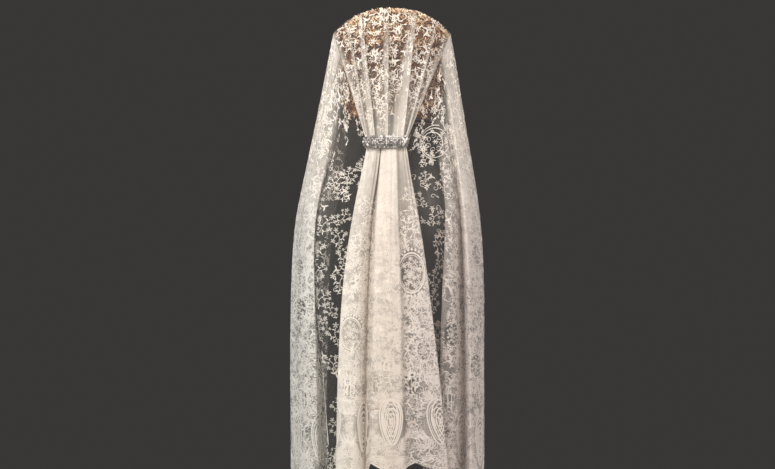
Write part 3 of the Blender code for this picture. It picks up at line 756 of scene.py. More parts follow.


# Finishes. The tints of the lace stand by place across, from the left to the right, and the right
# side is darker as painted shade.
laceFinish = {
    # painted shade: the colours on the right are darker, as the side away from the key light
    "tintsAndSideShade": ((0.0, (0.60, 0.59, 0.56)), (0.15, (0.69, 0.66, 0.61)), (0.3, (0.83, 0.76, 0.675)),
              (0.5, (0.74, 0.645, 0.555)), (0.64, (0.69, 0.61, 0.555)), (1.0, (0.62, 0.54, 0.50))),
    "warm": (0.86, 0.78, 0.69), "topLight": (0.09, 1.04), "crestLightLift": 0.16,
    "cell": 0.0018, "openAlpha": 0.015, "threadAlpha": 0.20,
    "netLift": 0.46, "fullLift": 0.45, "threadLift": 1.08,
    "ringCell": 0.0115, "branchCell": 0.0085, "groundAlpha": 0.66, "groundLift": 0.24, "clusterLift": 0.27,
}
shellTints = ((0.0, (0.03, 0.013, 0.010)), (0.12, (0.10, 0.042, 0.028)), (0.40, (0.19, 0.070, 0.038)),
              (0.58, (0.34, 0.125, 0.055)), (0.72, (0.66, 0.38, 0.17)), (1.0, (1.0, 0.88, 0.66)))
silverTints = ((0.3, (0.10, 0.095, 0.09)), (0.7, (0.40, 0.37, 0.34)))
stoneGlintTints = ((0.0, (0.07, 0.062, 0.062)), (0.4, (0.34, 0.30, 0.29)), (0.85, (1.0, 0.955, 0.90)))


def newFinish(name, **values):
    # a material and its tree, with the shader's plain values set
    material = bpy.data.materials.new(name)
    material.use_nodes = True
    shader = material.node_tree.nodes["Principled BSDF"]
    for key, value in values.items():
        shader.inputs[key.replace("_", " ")].default_value = value
    return material, material.node_tree, shader


def feed(tree, socket, value):
    # a number, a colour or another node's output into a socket
    if isinstance(value, (int, float)):
        socket.default_value = value
    elif isinstance(value, tuple):
        socket.default_value = (*value, 1)
    else:
        tree.links.new(value, socket)


def calc(tree, operation, a, b=0.0, c=None, clamp=False):
    # one sum with two or three values
    node = tree.nodes.new("ShaderNodeMath")
    node.operation, node.use_clamp = operation, clamp
    for socket, value in zip(node.inputs, (a, b) if c is None else (a, b, c)):
        feed(tree, socket, value)
    return node.outputs[0]


def vectorCalc(tree, operation, a, b, c=None):
    # one sum with a vector, a plain vector and maybe a third
    node = tree.nodes.new("ShaderNodeVectorMath")
    node.operation = operation
    node.inputs[1].default_value = b
    tree.links.new(a, node.inputs[0])
    if c is not None:
        tree.links.new(c, node.inputs[2])
    return node.outputs[0]


def ramp(tree, value, stops):
    # the colour that stands at a value between stops of a place and a colour
    node = tree.nodes.new("ShaderNodeValToRGB")
    while len(node.color_ramp.elements) < len(stops):
        node.color_ramp.elements.new(0.5)
    for element, (position, colour) in zip(node.color_ramp.elements, stops):
        element.position, element.color = position, (*colour, 1)
    tree.links.new(value, node.inputs[0])
    return node.outputs[0]


def noise(tree, vector, scale, detail=2.0, rough=0.5):
    # clouds of a size, as a value and as a colour
    node = tree.nodes.new("ShaderNodeTexNoise")
    for key, value in (("Scale", scale), ("Detail", detail), ("Roughness", rough), ("Vector", vector)):
        feed(tree, node.inputs[key], value)
    return node.outputs


def attribute(tree, name):
    # a value kept on the mesh
    node = tree.nodes.new("ShaderNodeAttribute")
    node.attribute_name = name
    return node.outputs["Fac"]


def clothPlace(tree):
    # the place across and up the cloth, in metres
    node = tree.nodes.new("ShaderNodeUVMap")
    node.uv_map = "cloth"
    return node.outputs[0]


def mixed(tree, factor, a, b, blend="MIX"):
    # from colour a to colour b by the factor, or one blended with the other
    node = tree.nodes.new("ShaderNodeMix")
    node.data_type, node.blend_type = "RGBA", blend
    for socket, value in ((0, factor), (6, a), (7, b)):
        feed(tree, node.inputs[socket], value)
    return node.outputs[2]


def shaded(tree, tint, light):
    # a colour times a brightness
    grey = tree.nodes.new("ShaderNodeCombineColor")
    for socket in grey.inputs:
        tree.links.new(light, socket)
    return mixed(tree, 1.0, tint, grey.outputs[0], "MULTIPLY")


def bumped(tree, shader, height, strength, distance):
    # bends the shader's normal as a surface of that height would
    bump = tree.nodes.new("ShaderNodeBump")
    for key, value in (("Strength", strength), ("Distance", distance), ("Height", height)):
        feed(tree, bump.inputs[key], value)
    tree.links.new(bump.outputs[0], shader.inputs["Normal"])


def clothTintAndLight(tree, lift=1.0):
    # cool ivory on the left, warm in the middle, pinkish beige and darker by painted shade on the right, by
    # place across; warmer high up, clouded, and lighter upwards by painted light from above; also returns the
    # place and the share of the way to the crest
    where = tree.nodes.new("ShaderNodeTexCoord").outputs["Object"]
    apart = tree.nodes.new("ShaderNodeSeparateXYZ")
    tree.links.new(where, apart.inputs[0])
    x, z = apart.outputs[0], apart.outputs[2]
    stops = [(p, tuple(part * lift for part in colour)) for p, colour in laceFinish["tintsAndSideShade"]]
    # painted shade: the ramp by place across darkens the right side
    tint = ramp(tree, calc(tree, "MULTIPLY_ADD", x, 2.1, 0.52, clamp=True), stops)
    high = calc(tree, "MULTIPLY", calc(tree, "MULTIPLY_ADD", z, 4.0, 1.1, clamp=True), 0.75)
    tint = mixed(tree, high, tint, tuple(part * lift for part in laceFinish["warm"]))
    shade = calc(tree, "MULTIPLY_ADD", noise(tree, where, 9.0, 3.0)[0], 0.22, 0.87)
    # painted light from above: topLight makes the colour lighter upwards
    shade = calc(tree, "MULTIPLY", shade, calc(tree, "MULTIPLY_ADD", z, *laceFinish["topLight"]))
    return shaded(tree, tint, shade), where, calc(tree, "MULTIPLY_ADD", z, 8.0, -1.0, clamp=True)


def groundPattern(tree, uv, where):
    # rings round scattered points and branching lines between others, bent by noise, as far as it is worked;
    # both stand in clusters wider than tall; also returns the cluster's light, from -0.5 to 0.5
    sway = tree.nodes.new("ShaderNodeTexNoise")
    sway.inputs["Scale"].default_value = 70.0
    tree.links.new(uv, sway.inputs["Vector"])
    bent = vectorCalc(tree, "MULTIPLY_ADD", sway.outputs["Color"], (0.012, 0.012, 0), uv)
    lines = []
    for feature, size, start, slope in (("F1", laceFinish["ringCell"], -0.33, -9.0),
                                        ("DISTANCE_TO_EDGE", laceFinish["branchCell"], 0.0, -8.0)):
        cell = tree.nodes.new("ShaderNodeTexVoronoi")
        cell.voronoi_dimensions, cell.feature = "2D", feature
        cell.inputs["Scale"].default_value = 1 / size
        tree.links.new(bent, cell.inputs["Vector"])
        far = calc(tree, "ABSOLUTE", calc(tree, "ADD", cell.outputs["Distance"], start))
        lines.append(calc(tree, "MULTIPLY_ADD", far, slope, 1.1, clamp=True))
    wide = vectorCalc(tree, "MULTIPLY", where, (1.0, 0.0, 1.6))
    cluster = calc(tree, "MULTIPLY_ADD", noise(tree, wide, 27.0, 2.0, 0.6)[0], 6.0, -2.5, clamp=True)
    own = attribute(tree, "ground")
    worked = calc(tree, "MULTIPLY", calc(tree, "MAXIMUM", *lines), own)
    worked = calc(tree, "MULTIPLY", worked, calc(tree, "MULTIPLY_ADD", cluster, 0.7, 0.3))
    return worked, calc(tree, "MULTIPLY", calc(tree, "ADD", cluster, -0.5), own)


def netFinish():
    # hexagon-like net: threads where a cell's edge is near; fullness adds the layers hidden in gathers
    material, tree, shader = newFinish("sheerNet", Roughness=0.82, Sheen_Weight=0.25, Sheen_Roughness=0.5)
    (tint, where, crestward), uv = clothTintAndLight(tree), clothPlace(tree)
    cell = tree.nodes.new("ShaderNodeTexVoronoi")
    cell.voronoi_dimensions, cell.feature = "2D", "DISTANCE_TO_EDGE"
    cell.inputs["Scale"].default_value = 1 / laceFinish["cell"]
    cell.inputs["Randomness"].default_value = 0.35
    tree.links.new(uv, cell.inputs["Vector"])
    thread = calc(tree, "MULTIPLY_ADD", cell.outputs["Distance"], -7.0, 1.25, clamp=True)
    span = laceFinish["threadAlpha"] - laceFinish["openAlpha"]
    single = calc(tree, "MULTIPLY_ADD", thread, span, laceFinish["openAlpha"])
    full, cloud = attribute(tree, "fullness"), noise(tree, uv, 55.0, 3.0, 0.6)[0]
    hidden = calc(tree, "MULTIPLY", full, calc(tree, "MULTIPLY_ADD", cloud, 0.5, 0.78), clamp=True)
    single = calc(tree, "MULTIPLY", single, calc(tree, "MULTIPLY_ADD", full, 1.0, 1.0, clamp=True))
    worked, cluster = groundPattern(tree, uv, where)
    single = calc(tree, "MAXIMUM", single, calc(tree, "MULTIPLY", worked, laceFinish["groundAlpha"]))
    gaps = calc(tree, "MULTIPLY", calc(tree, "SUBTRACT", 1.0, single), calc(tree, "SUBTRACT", 1.0, hidden))
    fine = noise(tree, uv, 330.0, 2.0, 0.6)[0]
    bright = calc(tree, "MULTIPLY_ADD", hidden, laceFinish["fullLift"], laceFinish["netLift"])
    bright = calc(tree, "MULTIPLY_ADD", worked, laceFinish["groundLift"], bright)
    # painted light: the net is made lighter towards the crest
    bright = calc(tree, "MULTIPLY_ADD", crestward, laceFinish["crestLightLift"], bright)
    clusterLight = calc(tree, "MULTIPLY_ADD", cluster, laceFinish["clusterLift"], 1.02)
    bright = calc(tree, "MULTIPLY", bright, clusterLight)
    bright = calc(tree, "MULTIPLY", bright, calc(tree, "MULTIPLY_ADD", fine, 0.5, 0.76))
    tree.links.new(calc(tree, "SUBTRACT", 1.0, gaps, clamp=True), shader.inputs["Alpha"])
    tree.links.new(shaded(tree, tint, bright), shader.inputs["Base Color"])
    bumped(tree, shader, calc(tree, "ADD", thread, calc(tree, "MULTIPLY", cloud, 3.0)), 0.35, 0.0004)
    return material


def threadFinish():
    # satin stitches: fine bands across each ribbon
    material, tree, shader = newFinish("laceThread", Roughness=0.6, Sheen_Weight=0.3)
    tint = clothTintAndLight(tree, laceFinish["threadLift"])[0]
    band = tree.nodes.new("ShaderNodeTexWave")
    tree.links.new(clothPlace(tree), band.inputs["Vector"])
    for key, value in (("Scale", 260.0), ("Distortion", 1.4), ("Detail Scale", 2.0)):
        band.inputs[key].default_value = value
    stitch = band.outputs["Fac"]
    tint = shaded(tree, tint, calc(tree, "MULTIPLY_ADD", stitch, 0.16, 0.88))
    tree.links.new(tint, shader.inputs["Base Color"])
    bumped(tree, shader, stitch, 0.5, 0.0003)
    return material


def shellFinish():
    # tortoiseshell: each leaf is dark, red-brown, amber or gold, clouded, and lighter at the crest by painted
    # light, under a clear gloss
    material, tree, shader = newFinish("tortoiseshellResin", Roughness=0.28, Coat_Weight=0.4,
                                       Coat_Roughness=0.08)
    where = tree.nodes.new("ShaderNodeTexCoord").outputs["Object"]
    cloud = calc(tree, "MULTIPLY_ADD", noise(tree, where, 90.0, 4.0, 0.6)[0], 0.5, -0.25)
    value = calc(tree, "ADD", attribute(tree, "shade"), cloud)
    tree.links.new(ramp(tree, value, shellTints), shader.inputs["Base Color"])
    return material


def silverFinish():
    # grainy silver, dark in its hollows
    material, tree, shader = newFinish("claspSilver", Metallic=1.0, Roughness=0.34)
    grain = noise(tree, tree.nodes.new("ShaderNodeTexCoord").outputs["Object"], 900.0, 2.0)[0]
    tree.links.new(ramp(tree, grain, silverTints), shader.inputs["Base Color"])
    bumped(tree, shader, grain, 0.4, 0.0004)
    return material


def stoneFinish():
    # clear stones over foil: the brightness of each stone and facet is a painted glint, and their facets do
    # the rest
    material, tree, shader = newFinish("clearStone", Metallic=0.3, Roughness=0.1, Coat_Weight=0.6)
    tree.links.new(ramp(tree, attribute(tree, "sparkle"), stoneGlintTints), shader.inputs["Base Color"])
    return material


net, thread, tortoise = netFinish(), threadFinish(), shellFinish()
silver, stone = silverFinish(), stoneFinish()
print("finishes made")


def dress(piece, finish):
    # gives a piece its finish, its slot and the body that it rides on
    piece.data.materials.append(finish)
    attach(piece, "root")
    return piece


# The five sheets. A ripple is its wave, height, lean, phase, fade and growth.
fanCloth = weave(*fanColumns(), ((0.0085, 0.0007, 0.02, 0.1, 0.6, 0), (0.017, 0.0012, 0.03, 0.45, 0.5, 0)),
                 (60, 0.55, -0.16))
tailRipples = ((0.017, 0.0022, 0.02, 0.2, 0.16, 0), (0.041, 0.0020, 0.05, 0.6, 0.35, 0.0006),
               (0.090, 0.0006, 0.04, 0.3, 0.9, 0.0012))
tailCloth = weave(*tailColumns(), tailRipples, (46, 0.5, 0.2))
hemX, inFront = tailCloth["points"][-1, :, 0], tailCloth["normals"][-1, :, 1] < -0.3
marks = [tailCloth["u"][np.argmin(np.abs(hemX - x * mm) + ~inFront)] for x in tailNotches]
tailCloth["hems"] = tuple(zip([0, *marks], [*marks, tailCloth["width"]]))
fallRipples = ((0.034, 0.0014, 0.05, 0.3, 0.22, 0.0002), (0.085, 0.0012, 0.06, 0.7, 0.6, 0.0012))
falls = {}
for side in ("left", "right"):
    columns, full = fallColumns(side)
    if side == "left":
        columns, full = columns[::-1], full[::-1]
    fall = weave(columns, full, fallRipples, (70, 0.35, 0.35))
    fall["turn"] = fall["u"][np.argmax(np.abs(fall["points"][-1, :, 0]))]   # where it turns to the front
    fall["hems"] = ((0, fall["turn"]), (fall["turn"], fall["width"]))
    falls[side] = fall
columns, full = crownColumns()
crownRipples = ((0.030, 0.0010, 0.05, 0.2, 0.5, 0), (0.055, 0.0014, 0.05, 0.6, 0.5, 0))
crownCloth = weave(columns[::-1], full, crownRipples)
sheets = {"fan": fanCloth, "tail": tailCloth, "leftFall": falls["left"], "rightFall": falls["right"],
          "crown": crownCloth}
for name, cloth in sheets.items():
    print(name, "cloth", round(cloth["width"], 3), "by", round(cloth["length"], 3))


def spotAt(cloth, x, z):
    # the cloth coordinates of the outward-facing place behind (x, z) in millimetres
    p, n = cloth["points"], cloth["normals"]
    far = (p[..., 0] - x * mm) ** 2 + (p[..., 2] - z * mm) ** 2
    far = far + np.where(n[..., 1] < -0.2, 0, 1) + p[..., 1] * 0.002
    j, i = np.unravel_index(np.argmin(far), far.shape)
    return cloth["u"][i], cloth["v"][j]


def draped(cloth, motif, x, z, size):
    # a motif as seen from behind at (x, z) millimetres: each point goes to the cloth's place nearest it,
    # then by the cloth's slopes across and down to the exact one; lines that miss the cloth are left out
    p = cloth["points"][..., ::2]
    stepU, stepV = cloth["u"][1], cloth["v"][1]
    slopeU, slopeV = np.gradient(p, stepU, axis=1), np.gradient(p, stepV, axis=0)
    reach = 1.5 * size * max(np.abs(lines[..., :2]).max() for lines in motif.values())
    seen = (cloth["normals"][..., 1] < -0.15) & (np.abs(p - (x * mm, z * mm)).max(axis=2) < reach)
    j, i = np.nonzero(seen)
    near = p[j, i]
    out = {}
    for key, lines in motif.items():
        aim = np.stack([x * mm + lines[..., 0] * size, z * mm - lines[..., 1] * size], axis=-1).reshape(-1, 2)
        best = np.argmin((near ** 2).sum(1) - 2 * aim @ near.T, axis=1)
        a, b = slopeU[j[best], i[best]], slopeV[j[best], i[best]]
        miss = aim - near[best]
        area = a[:, 0] * b[:, 1] - a[:, 1] * b[:, 0]
        area = np.where(np.abs(area) < 0.02, 0.02, area)
        du = np.clip((miss[:, 0] * b[:, 1] - miss[:, 1] * b[:, 0]) / area, -stepU, stepU)
        dv = np.clip((miss[:, 1] * a[:, 0] - miss[:, 0] * a[:, 1]) / area, -stepV, stepV)
        u = np.where(np.linalg.norm(miss, axis=1) < 0.006, cloth["u"][i[best]] + du, -1)
        spots = np.stack([u, cloth["v"][j[best]] + dv, (lines[..., 2] * size).ravel()], axis=-1)
        out[key] = spots.reshape(lines.shape)
    return out


def roundsOf(cloth, seen):
    # places as seen from behind, x, z and size, as places on the cloth
    return [(*spotAt(cloth, x, z), size) for x, z, size in seen]


# The border: how high above the hem the ovals, the bars and its upper end stand.
border = {"ovals": 0.118, "bars": 0.208, "garland": 0.235, "top": 0.24,
          "step": 0.0115, "keep": 0.8, "thin": 0.78}   # the filling's step and share, the threads' width
border["arch"] = joined(archMotif(0.062, 0.112), mirrored(wing, 0.030, 0.038, 0.25, 1.1),
                        mirrored(plume, -0.010, -0.048, -0.7))
border["between"] = thinner(joined(
    placed(shellMotif(0.022), [(0, -0.052, 0, 1, 1)]),
    placed(barsMotif(5, 0.034, 0.046), [(0, -border["bars"], 0, 1, 1)]),
    mirrored(wing, 0.004, -0.088, 0.1), mirrored(wing, 0.004, -0.150, 0.3, 0.8),
    placed(flower(0, 0, 0.010, 7), [(0, -0.120, 0, 1, 1), (0, -0.168, 0, 0.8, 1)])), border["thin"])


def archSpots(cloth):
    # middles of the ovals over the scallops and of the bars between them, with their sizes
    spots, hem = [], cloth["length"]
    for start, stop in cloth["hems"]:
        count = scallopCount(start, stop)
        at = start + np.arange(0, count, 0.5) * (stop - start) / count
        spots += [(u, hem - border["ovals"], 1.0) for u in at[1::2]]
        spots += [(u, hem - border["bars"], 0.5) for u in at[::2]]
    return spots


def borderOf(cloth, bare=None):
    # scallops one after another along each hem; over each an oval arch, between them shells, bars and wings;
    # in the bare span across the cloth only the scallops
    made, ovals, width, hem = [], [], cloth["width"], cloth["length"]
    begin, end = bare or (0, 0)
    for start, stop in cloth["hems"]:
        count = scallopCount(start, stop)
        step = (stop - start) / count
        middles = start + (np.arange(-1, count + 1) + 0.5) * step
        ovals += [(m, hem - border["ovals"], 1.0) for m in middles]
        scallop = thinner(scallopMotif(step, cut["scallopDepth"]), border["thin"])
        made.append(placed(scallop, [(m, hem, 0, 1, 1) for m in middles]))
        for motif, shift, rise in ((border["arch"], 0, border["ovals"]), (border["between"], -step / 2, 0)):
            at = [(m + shift, hem - rise, 0, 1, 1) for m in middles if not begin <= m + shift <= end]
            if at:
                made.append(placed(motif, at))
    if bare is None:
        made.append(garland(width, hem - border["garland"], 0.016))
    spots = scatter(width, hem - border["top"], hem - 0.006, border["step"],
                    lambda u, v: border["keep"] + 0 * v)
    spots = away(cloth, thinned(cloth, spots), ovals)
    spots = spots[(spots[:, 0] < begin) | (spots[:, 0] > end)] * (1, 1, 1, 0.9, 1)
    return joined(*made, smallOnes(cloth, spots))


# The fan: small flowers, leaves and curls, crowded where the pleats are.
fanWork = {"least": 0.28, "more": 0.42, "bare": 0.8, "bareFrom": 0.66, "bareOver": 0.22, "step": 0.0125,
           "sprayStep": 0.058, "sprayTurn": 1.2, "spraySizes": (0.45, 0.65), "net": 0.45}


def fanDensity(u, v):
    # rises down the fan and falls again at the clasp
    down = v / fanCloth["length"]
    bare = fanWork["bare"] * smooth((down - fanWork["bareFrom"]) / fanWork["bareOver"])
    return (fanWork["least"] + fanWork["more"] * smooth(down * 2.2 - 0.25)) * (1 - bare)


fanLength = fanCloth["length"]
fanSpots = thinned(fanCloth, halfDrop(fanCloth["width"], 0.01, fanLength - 0.02, fanWork["sprayStep"],
                                      fanWork["sprayTurn"], fanWork["spraySizes"]))
fanSpots = fanSpots[rng.uniform(size=len(fanSpots)) < 0.25 + smooth(fanSpots[:, 1] / 0.12)]
fanMotif = joined(placed(sprig, fanSpots, fanCloth),
                  filling(fanCloth, 0.0, fanLength, fanWork["step"], fanDensity))

# The tail: smooth pleats at the clasp, then medallions, scrolls and a dense border. Medallions are given
# as seen from behind: x, z and size.
tailSeen = ((45, -343, 1.0), (-94, -482, 0.8), (72, -520, 0.55))
tailWork = {"most": 0.95, "from": 0.06, "over": 0.25, "layered": 0.6, "layeredBy": 0.55, "step": 0.0115,
            "sprayStep": 0.062, "sprayTurn": 0.7, "spraySizes": (0.65, 0.95),
            "wingStep": 0.052, "wingKeep": 0.55}
tailRounds, tailLength = roundsOf(tailCloth, tailSeen), tailCloth["length"]


def tailDensity(u, v):
    # rises down the tail, and falls where many layers lie
    rows, columns = tailCloth["full"].shape
    full = tailCloth["full"][np.clip(v / tailLength * rows, 0, rows - 1).astype(int),
                             np.clip(u * columns, 0, columns - 1).astype(int)]
    layered = tailWork["layeredBy"] * smooth((full - tailWork["layered"]) / 0.25)
    return tailWork["most"] * smooth((v - tailWork["from"]) / tailWork["over"]) * (1 - layered)


tailWide, tailPlain = tailCloth["width"], tailLength - border["top"]
tailSprays = thinned(tailCloth, halfDrop(tailWide, 0.11, tailPlain, tailWork["sprayStep"],
                                         tailWork["sprayTurn"], tailWork["spraySizes"]))
tailMotif = joined(
    borderOf(tailCloth), *(draped(tailCloth, medallion, *seen) for seen in tailSeen),
    placed(sprig, away(tailCloth, tailSprays, tailRounds), tailCloth),
    placed(wing, wingSpots(tailCloth, 0.3, tailPlain, tailWork["wingStep"], tailRounds, tailWork["wingKeep"]),
           tailCloth),
    filling(tailCloth, 0.02, tailLength - 0.22, tailWork["step"], tailDensity, tailRounds))
print("motifs drawn for the fan and the tail")

# Medallions of the falls; the first on the right is the wreath. The cord is the sheer panel's left edge.
fallSeen = {"left": ((-218, -330, 0.45), (-215, -430, 0.6), (-212, -640, 0.6)),
            "right": ((100, -40, 0.82), (139, -486, 0.62), (200, -300, 0.55), (196, -560, 0.6))}
panelEdge = ((-178, -330), (-176, -400), (-172, -470), (-167, -540), (-162, -610), (-156, -680), (-150, -740))


fallWork = {"sheer": 0.05, "stripFrom": 0.30, "stripTo": 0.60, "blend": 0.06,
            "front": 0.16, "frontFrom": 0.66, "step": 0.0115,
            "sprayStep": 0.053, "sprayTurn": 0.9, "spraySizes": (0.6, 0.85),
            "wingStep": 0.040, "wingKeep": 0.75, "borderFrom": 0.3}


def fallDensity(side):
    # how densely a fall is worked, as a function of the share across and the distance down
    def density(u, v):
        # dense on the strips from a third to two thirds of the way to the front edge, and towards the hem
        at = u if side == "right" else 1 - u
        strip, past = (smooth((at - fallWork[edge]) / fallWork["blend"]) for edge in ("stripFrom", "stripTo"))
        worked = fallWork["sheer"] + (0.25 + 0.55 * smooth((v - 0.2) / 0.2)) * strip * (1 - past)
        low = 0.5 * smooth((v / falls[side]["length"] - 0.62) / 0.25) * (0.15 + 0.85 * strip)
        return np.clip(np.where(at > fallWork["frontFrom"], fallWork["front"], worked) + low, 0, 0.92)
    return density


def fallMotif(side):
    # dense small pattern on the strips, sprays along both edges of the sheer panel, little in front
    cloth, right = falls[side], side == "right"
    width, length = cloth["width"], cloth["length"]
    rounds = roundsOf(cloth, fallSeen[side])
    if right:
        rounds[0] = (*rounds[0][:2], rounds[0][2] * 1.4)
    sprays = thinned(cloth, halfDrop(width, 0.02, length - 0.02, fallWork["sprayStep"],
                                     fallWork["sprayTurn"], fallWork["spraySizes"]))
    sprays = away(cloth, sprays, rounds)
    at = sprays[:, 0] / width if right else 1 - sprays[:, 0] / width    # share of the way to the front edge
    high = sprays[:, 1] < length - 0.22
    sprays = sprays[np.where(at < 0.62, high | (at < 0.3), high & (rng.uniform(size=len(sprays)) < 0.4))]
    wings = wingSpots(cloth, 0.35, length - border["top"], fallWork["wingStep"], rounds, fallWork["wingKeep"])
    at = wings[:, 0] / width if right else 1 - wings[:, 0] / width
    wings = wings[(at > 0.33) & (at < fallWork["frontFrom"])]
    ovals = [draped(cloth, wreath if right and n == 0 else medallion, *seen)
             for n, seen in enumerate(fallSeen[side])]
    if not right:
        ovals.append(cords([[spotAt(cloth, x, z) for x, z in panelEdge]], 0.0016, 60))
    bare = fallWork["borderFrom"] * width
    return joined(borderOf(cloth, (0, bare) if right else (width - bare, width)),
                  placed(sprig, sprays, cloth), placed(wing, wings, cloth), *ovals,
                  filling(cloth, 0.01, length - 0.22, fallWork["step"], fallDensity(side), rounds))


pieces = {"fanNet": netSheet("fanNet", fanCloth, lambda u, v: fanWork["net"] * fanDensity(u, v)),
          "fanLace": stitched("fanLace", fanCloth, fanMotif),
          "tailNet": netSheet("tailNet", tailCloth, lambda u, v: smooth((v - 0.04) / 0.3),
                              tailRounds + archSpots(tailCloth)),
          "tailLace": stitched("tailLace", tailCloth, tailMotif)}
for side in ("left", "right"):
    name, cloth, density = side + "Fall", falls[side], fallDensity(side)
    pieces[name + "Net"] = netSheet(name + "Net", cloth, lambda u, v, density=density: 1.5 * density(u, v),
                                    roundsOf(cloth, fallSeen[side]))
    pieces[name + "Lace"] = stitched(name + "Lace", cloth, fallMotif(side))
crownWidth, crownLength = crownCloth["width"], crownCloth["length"]
crownWork = {"step": 0.018, "share": 0.4, "sprayStep": 0.062, "sprayTurn": 1.5, "spraySizes": (0.7, 0.95),
             "edge": 0.0013, "garland": 0.7}   # half width of the edge's cord, width of the garland's threads
crownSprays = halfDrop(crownWidth, 0.03, crownLength - 0.04, crownWork["sprayStep"], crownWork["sprayTurn"],
                       crownWork["spraySizes"])
crownEdge = [(u, crownLength - 0.004) for u in np.linspace(0.002, crownWidth - 0.002, 7)]
crownMotif = joined(placed(sprig, crownSprays, crownCloth),
                    filling(crownCloth, 0, crownLength - 0.02, crownWork["step"],
                            lambda u, v: crownWork["share"] + 0 * v),
                    thinner(garland(crownWidth, crownLength - 0.024, 0.008, 0.12), crownWork["garland"]),
                    cords([crownEdge], crownWork["edge"], 60))
pieces["crownNet"] = netSheet("crownNet", crownCloth, lambda u, v: crownWork["share"])
pieces["crownLace"] = stitched("crownLace", crownCloth, crownMotif)
for name, piece in pieces.items():
    dress(piece, net if name.endswith("Net") else thread)
    print(name, len(piece.data.polygons) * 2, "triangles")
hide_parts("lace_fan")
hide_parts("lace_tail")
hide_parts("lace_side_left", "lace_front_left")
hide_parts("lace_side_right", "lace_front_right")
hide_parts("lace_crown")


def combPlace(x, z, lift):
    # the comb's middle surface, bent round its radius and leaning back, with lift off its back face
    radius, lean = comb["radius"], comb["lean"]
    y = radius - np.sqrt(radius ** 2 - x ** 2) - z * lean
    out = np.stack([x / radius, -np.sqrt(1 - (x / radius) ** 2), -lean + 0 * x], axis=-1)
    return np.stack([x, y, z], axis=-1) + out * np.asarray(lift)[..., None]


def combSpan(across, up):
    # flat x and z from across, -1 to 1, and up, 0 at the seat to 1 at the crest
    top = comb["corner"] + (comb["crest"] - comb["corner"]) * (1 - np.abs(across) ** comb["power"])
    z = up * top
    widen = 1 - (1 - np.clip(z / comb["corner"], 0, 1)) ** 2
    return across * (comb["halfBase"] + (comb["halfTop"] - comb["halfBase"]) * widen), z


def carved(name, motif, depth):
    # closed lens-shaped bars: each line carried with a section of four points, deeper in the middle;
    # long bars are dark brown, leaves and scrolls have a shade each, and painted light makes them lighter at
    # the crest
    points, quads, shades, base = [], [], [], 0
    for n, lines in motif.items():
        xy, half = lines[..., :2], lines[..., 2]
        own = np.full(len(lines), comb["barShade"])
        if n in comb["ownShade"]:
            # painted light: leaves and scrolls near the crest get a higher shade value, so they come out
            # lighter
            crestward = smooth((xy[..., 1].mean(axis=1) - 0.19) / 0.05)
            light = comb["lowShade"] + (comb["crestLight"] - comb["lowShade"]) * crestward
            own = rng.uniform(0, 1, len(lines)) + light
        shades.append(np.repeat(own, n * 4))
        off = np.stack(sideways(xy), axis=-1)
        side, lift = np.array((-1.0, 0.0, 1.0, 0.0)), np.array((0.0, 0.5, 0.0, -0.5)) * depth
        flat = xy[:, :, None] + off[:, :, None] * half[:, :, None, None] * side[:, None]
        layer = rng.uniform(-0.0012, 0.0012, len(lines))[:, None, None]
        points.append(combPlace(flat[..., 0], flat[..., 1], lift + layer + 0 * flat[..., 0]).reshape(-1, 3))
        start = base + np.arange(len(lines))[:, None, None, None] * n * 4
        ring = start + np.arange(n - 1)[:, None, None] * 4 + np.array([[0, 1], [1, 2], [2, 3], [3, 0]])
        quads.append(np.concatenate([ring, ring[..., ::-1] + 4], axis=-1).reshape(-1, 4))
        cap = (base + np.arange(len(lines)) * n * 4)[:, None]
        quads += [cap + np.array([3, 2, 1, 0]), cap + (n - 1) * 4 + np.array([0, 1, 2, 3])]
        base += len(lines) * n * 4
    return meshFrom(name, np.concatenate(points), np.concatenate(quads),
                    values={"shade": np.concatenate(shades)})


def turned(middle, size, wide, bow):
    # leaves with given middles, each turned at random
    turn = rng.uniform(0, 2 * math.pi, len(middle))
    step = np.stack([np.cos(turn), np.sin(turn)], axis=1) * rng.uniform(*size, len(middle))[:, None]
    return leaves(middle - step, middle + step, wide, bow)


def combMotif():
    # scrolls and leaves crowded over the whole face so that each touches its neighbours
    def span(across, up):
        # rows of flat x and z
        return np.stack(combSpan(across, up), axis=1)

    n = comb["leaves"]
    across = np.clip(((np.arange(n) * goldenShare) % 1) * 2 - 1, -0.96, 0.96)
    parts = [turned(span(across, 0.09 + 0.89 * (np.arange(n) + 0.5) / n), (0.0045, 0.009), 0.30, 0.16)]
    k = np.linspace(-1, 1, comb["rimLeaves"])
    parts.append(turned(span(k * 0.985, np.full_like(k, 0.988)), (0.004, 0.0075), 0.36, 0.15))
    parts.append(cords([span(np.linspace(-1, 1, 60) * 0.955, np.full(60, 0.955))], 0.0014, 60))
    for sign in (-1, 1):
        parts.append(cords([span(np.full(30, sign * 0.97), np.linspace(0.03, 0.95, 30))], 0.0016, 30))
    spirals = span(np.array([-0.75, -0.45, -0.15, 0.15, 0.45, 0.75] * 3), np.repeat([0.28, 0.52, 0.76], 6))
    parts.append(placed(scrollCord(1.3, 0.014, 0.0020),
                        [(*spot, rng.uniform(0, 6), 1, rng.choice((-1, 1))) for spot in spirals]))
    parts.append(cords([span(np.linspace(-0.98, 0.98, 40), np.full(40, 0.026))], 0.0072, 40))
    for tooth in np.linspace(-0.444, 0.444, 5) * comb["halfBase"]:
        line = [(tooth, 0.006), (tooth, -0.020), (tooth * 0.98, -0.045), (tooth * 0.97, -0.070)]
        parts.append(cords([line], 0.0052, 14, 0.7))
    return joined(*parts)


combPiece = dress(carved("combOpenwork", combMotif(), comb["wall"]), tortoise)
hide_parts("high_comb")
print("comb", len(combPiece.data.polygons) * 2, "triangles")

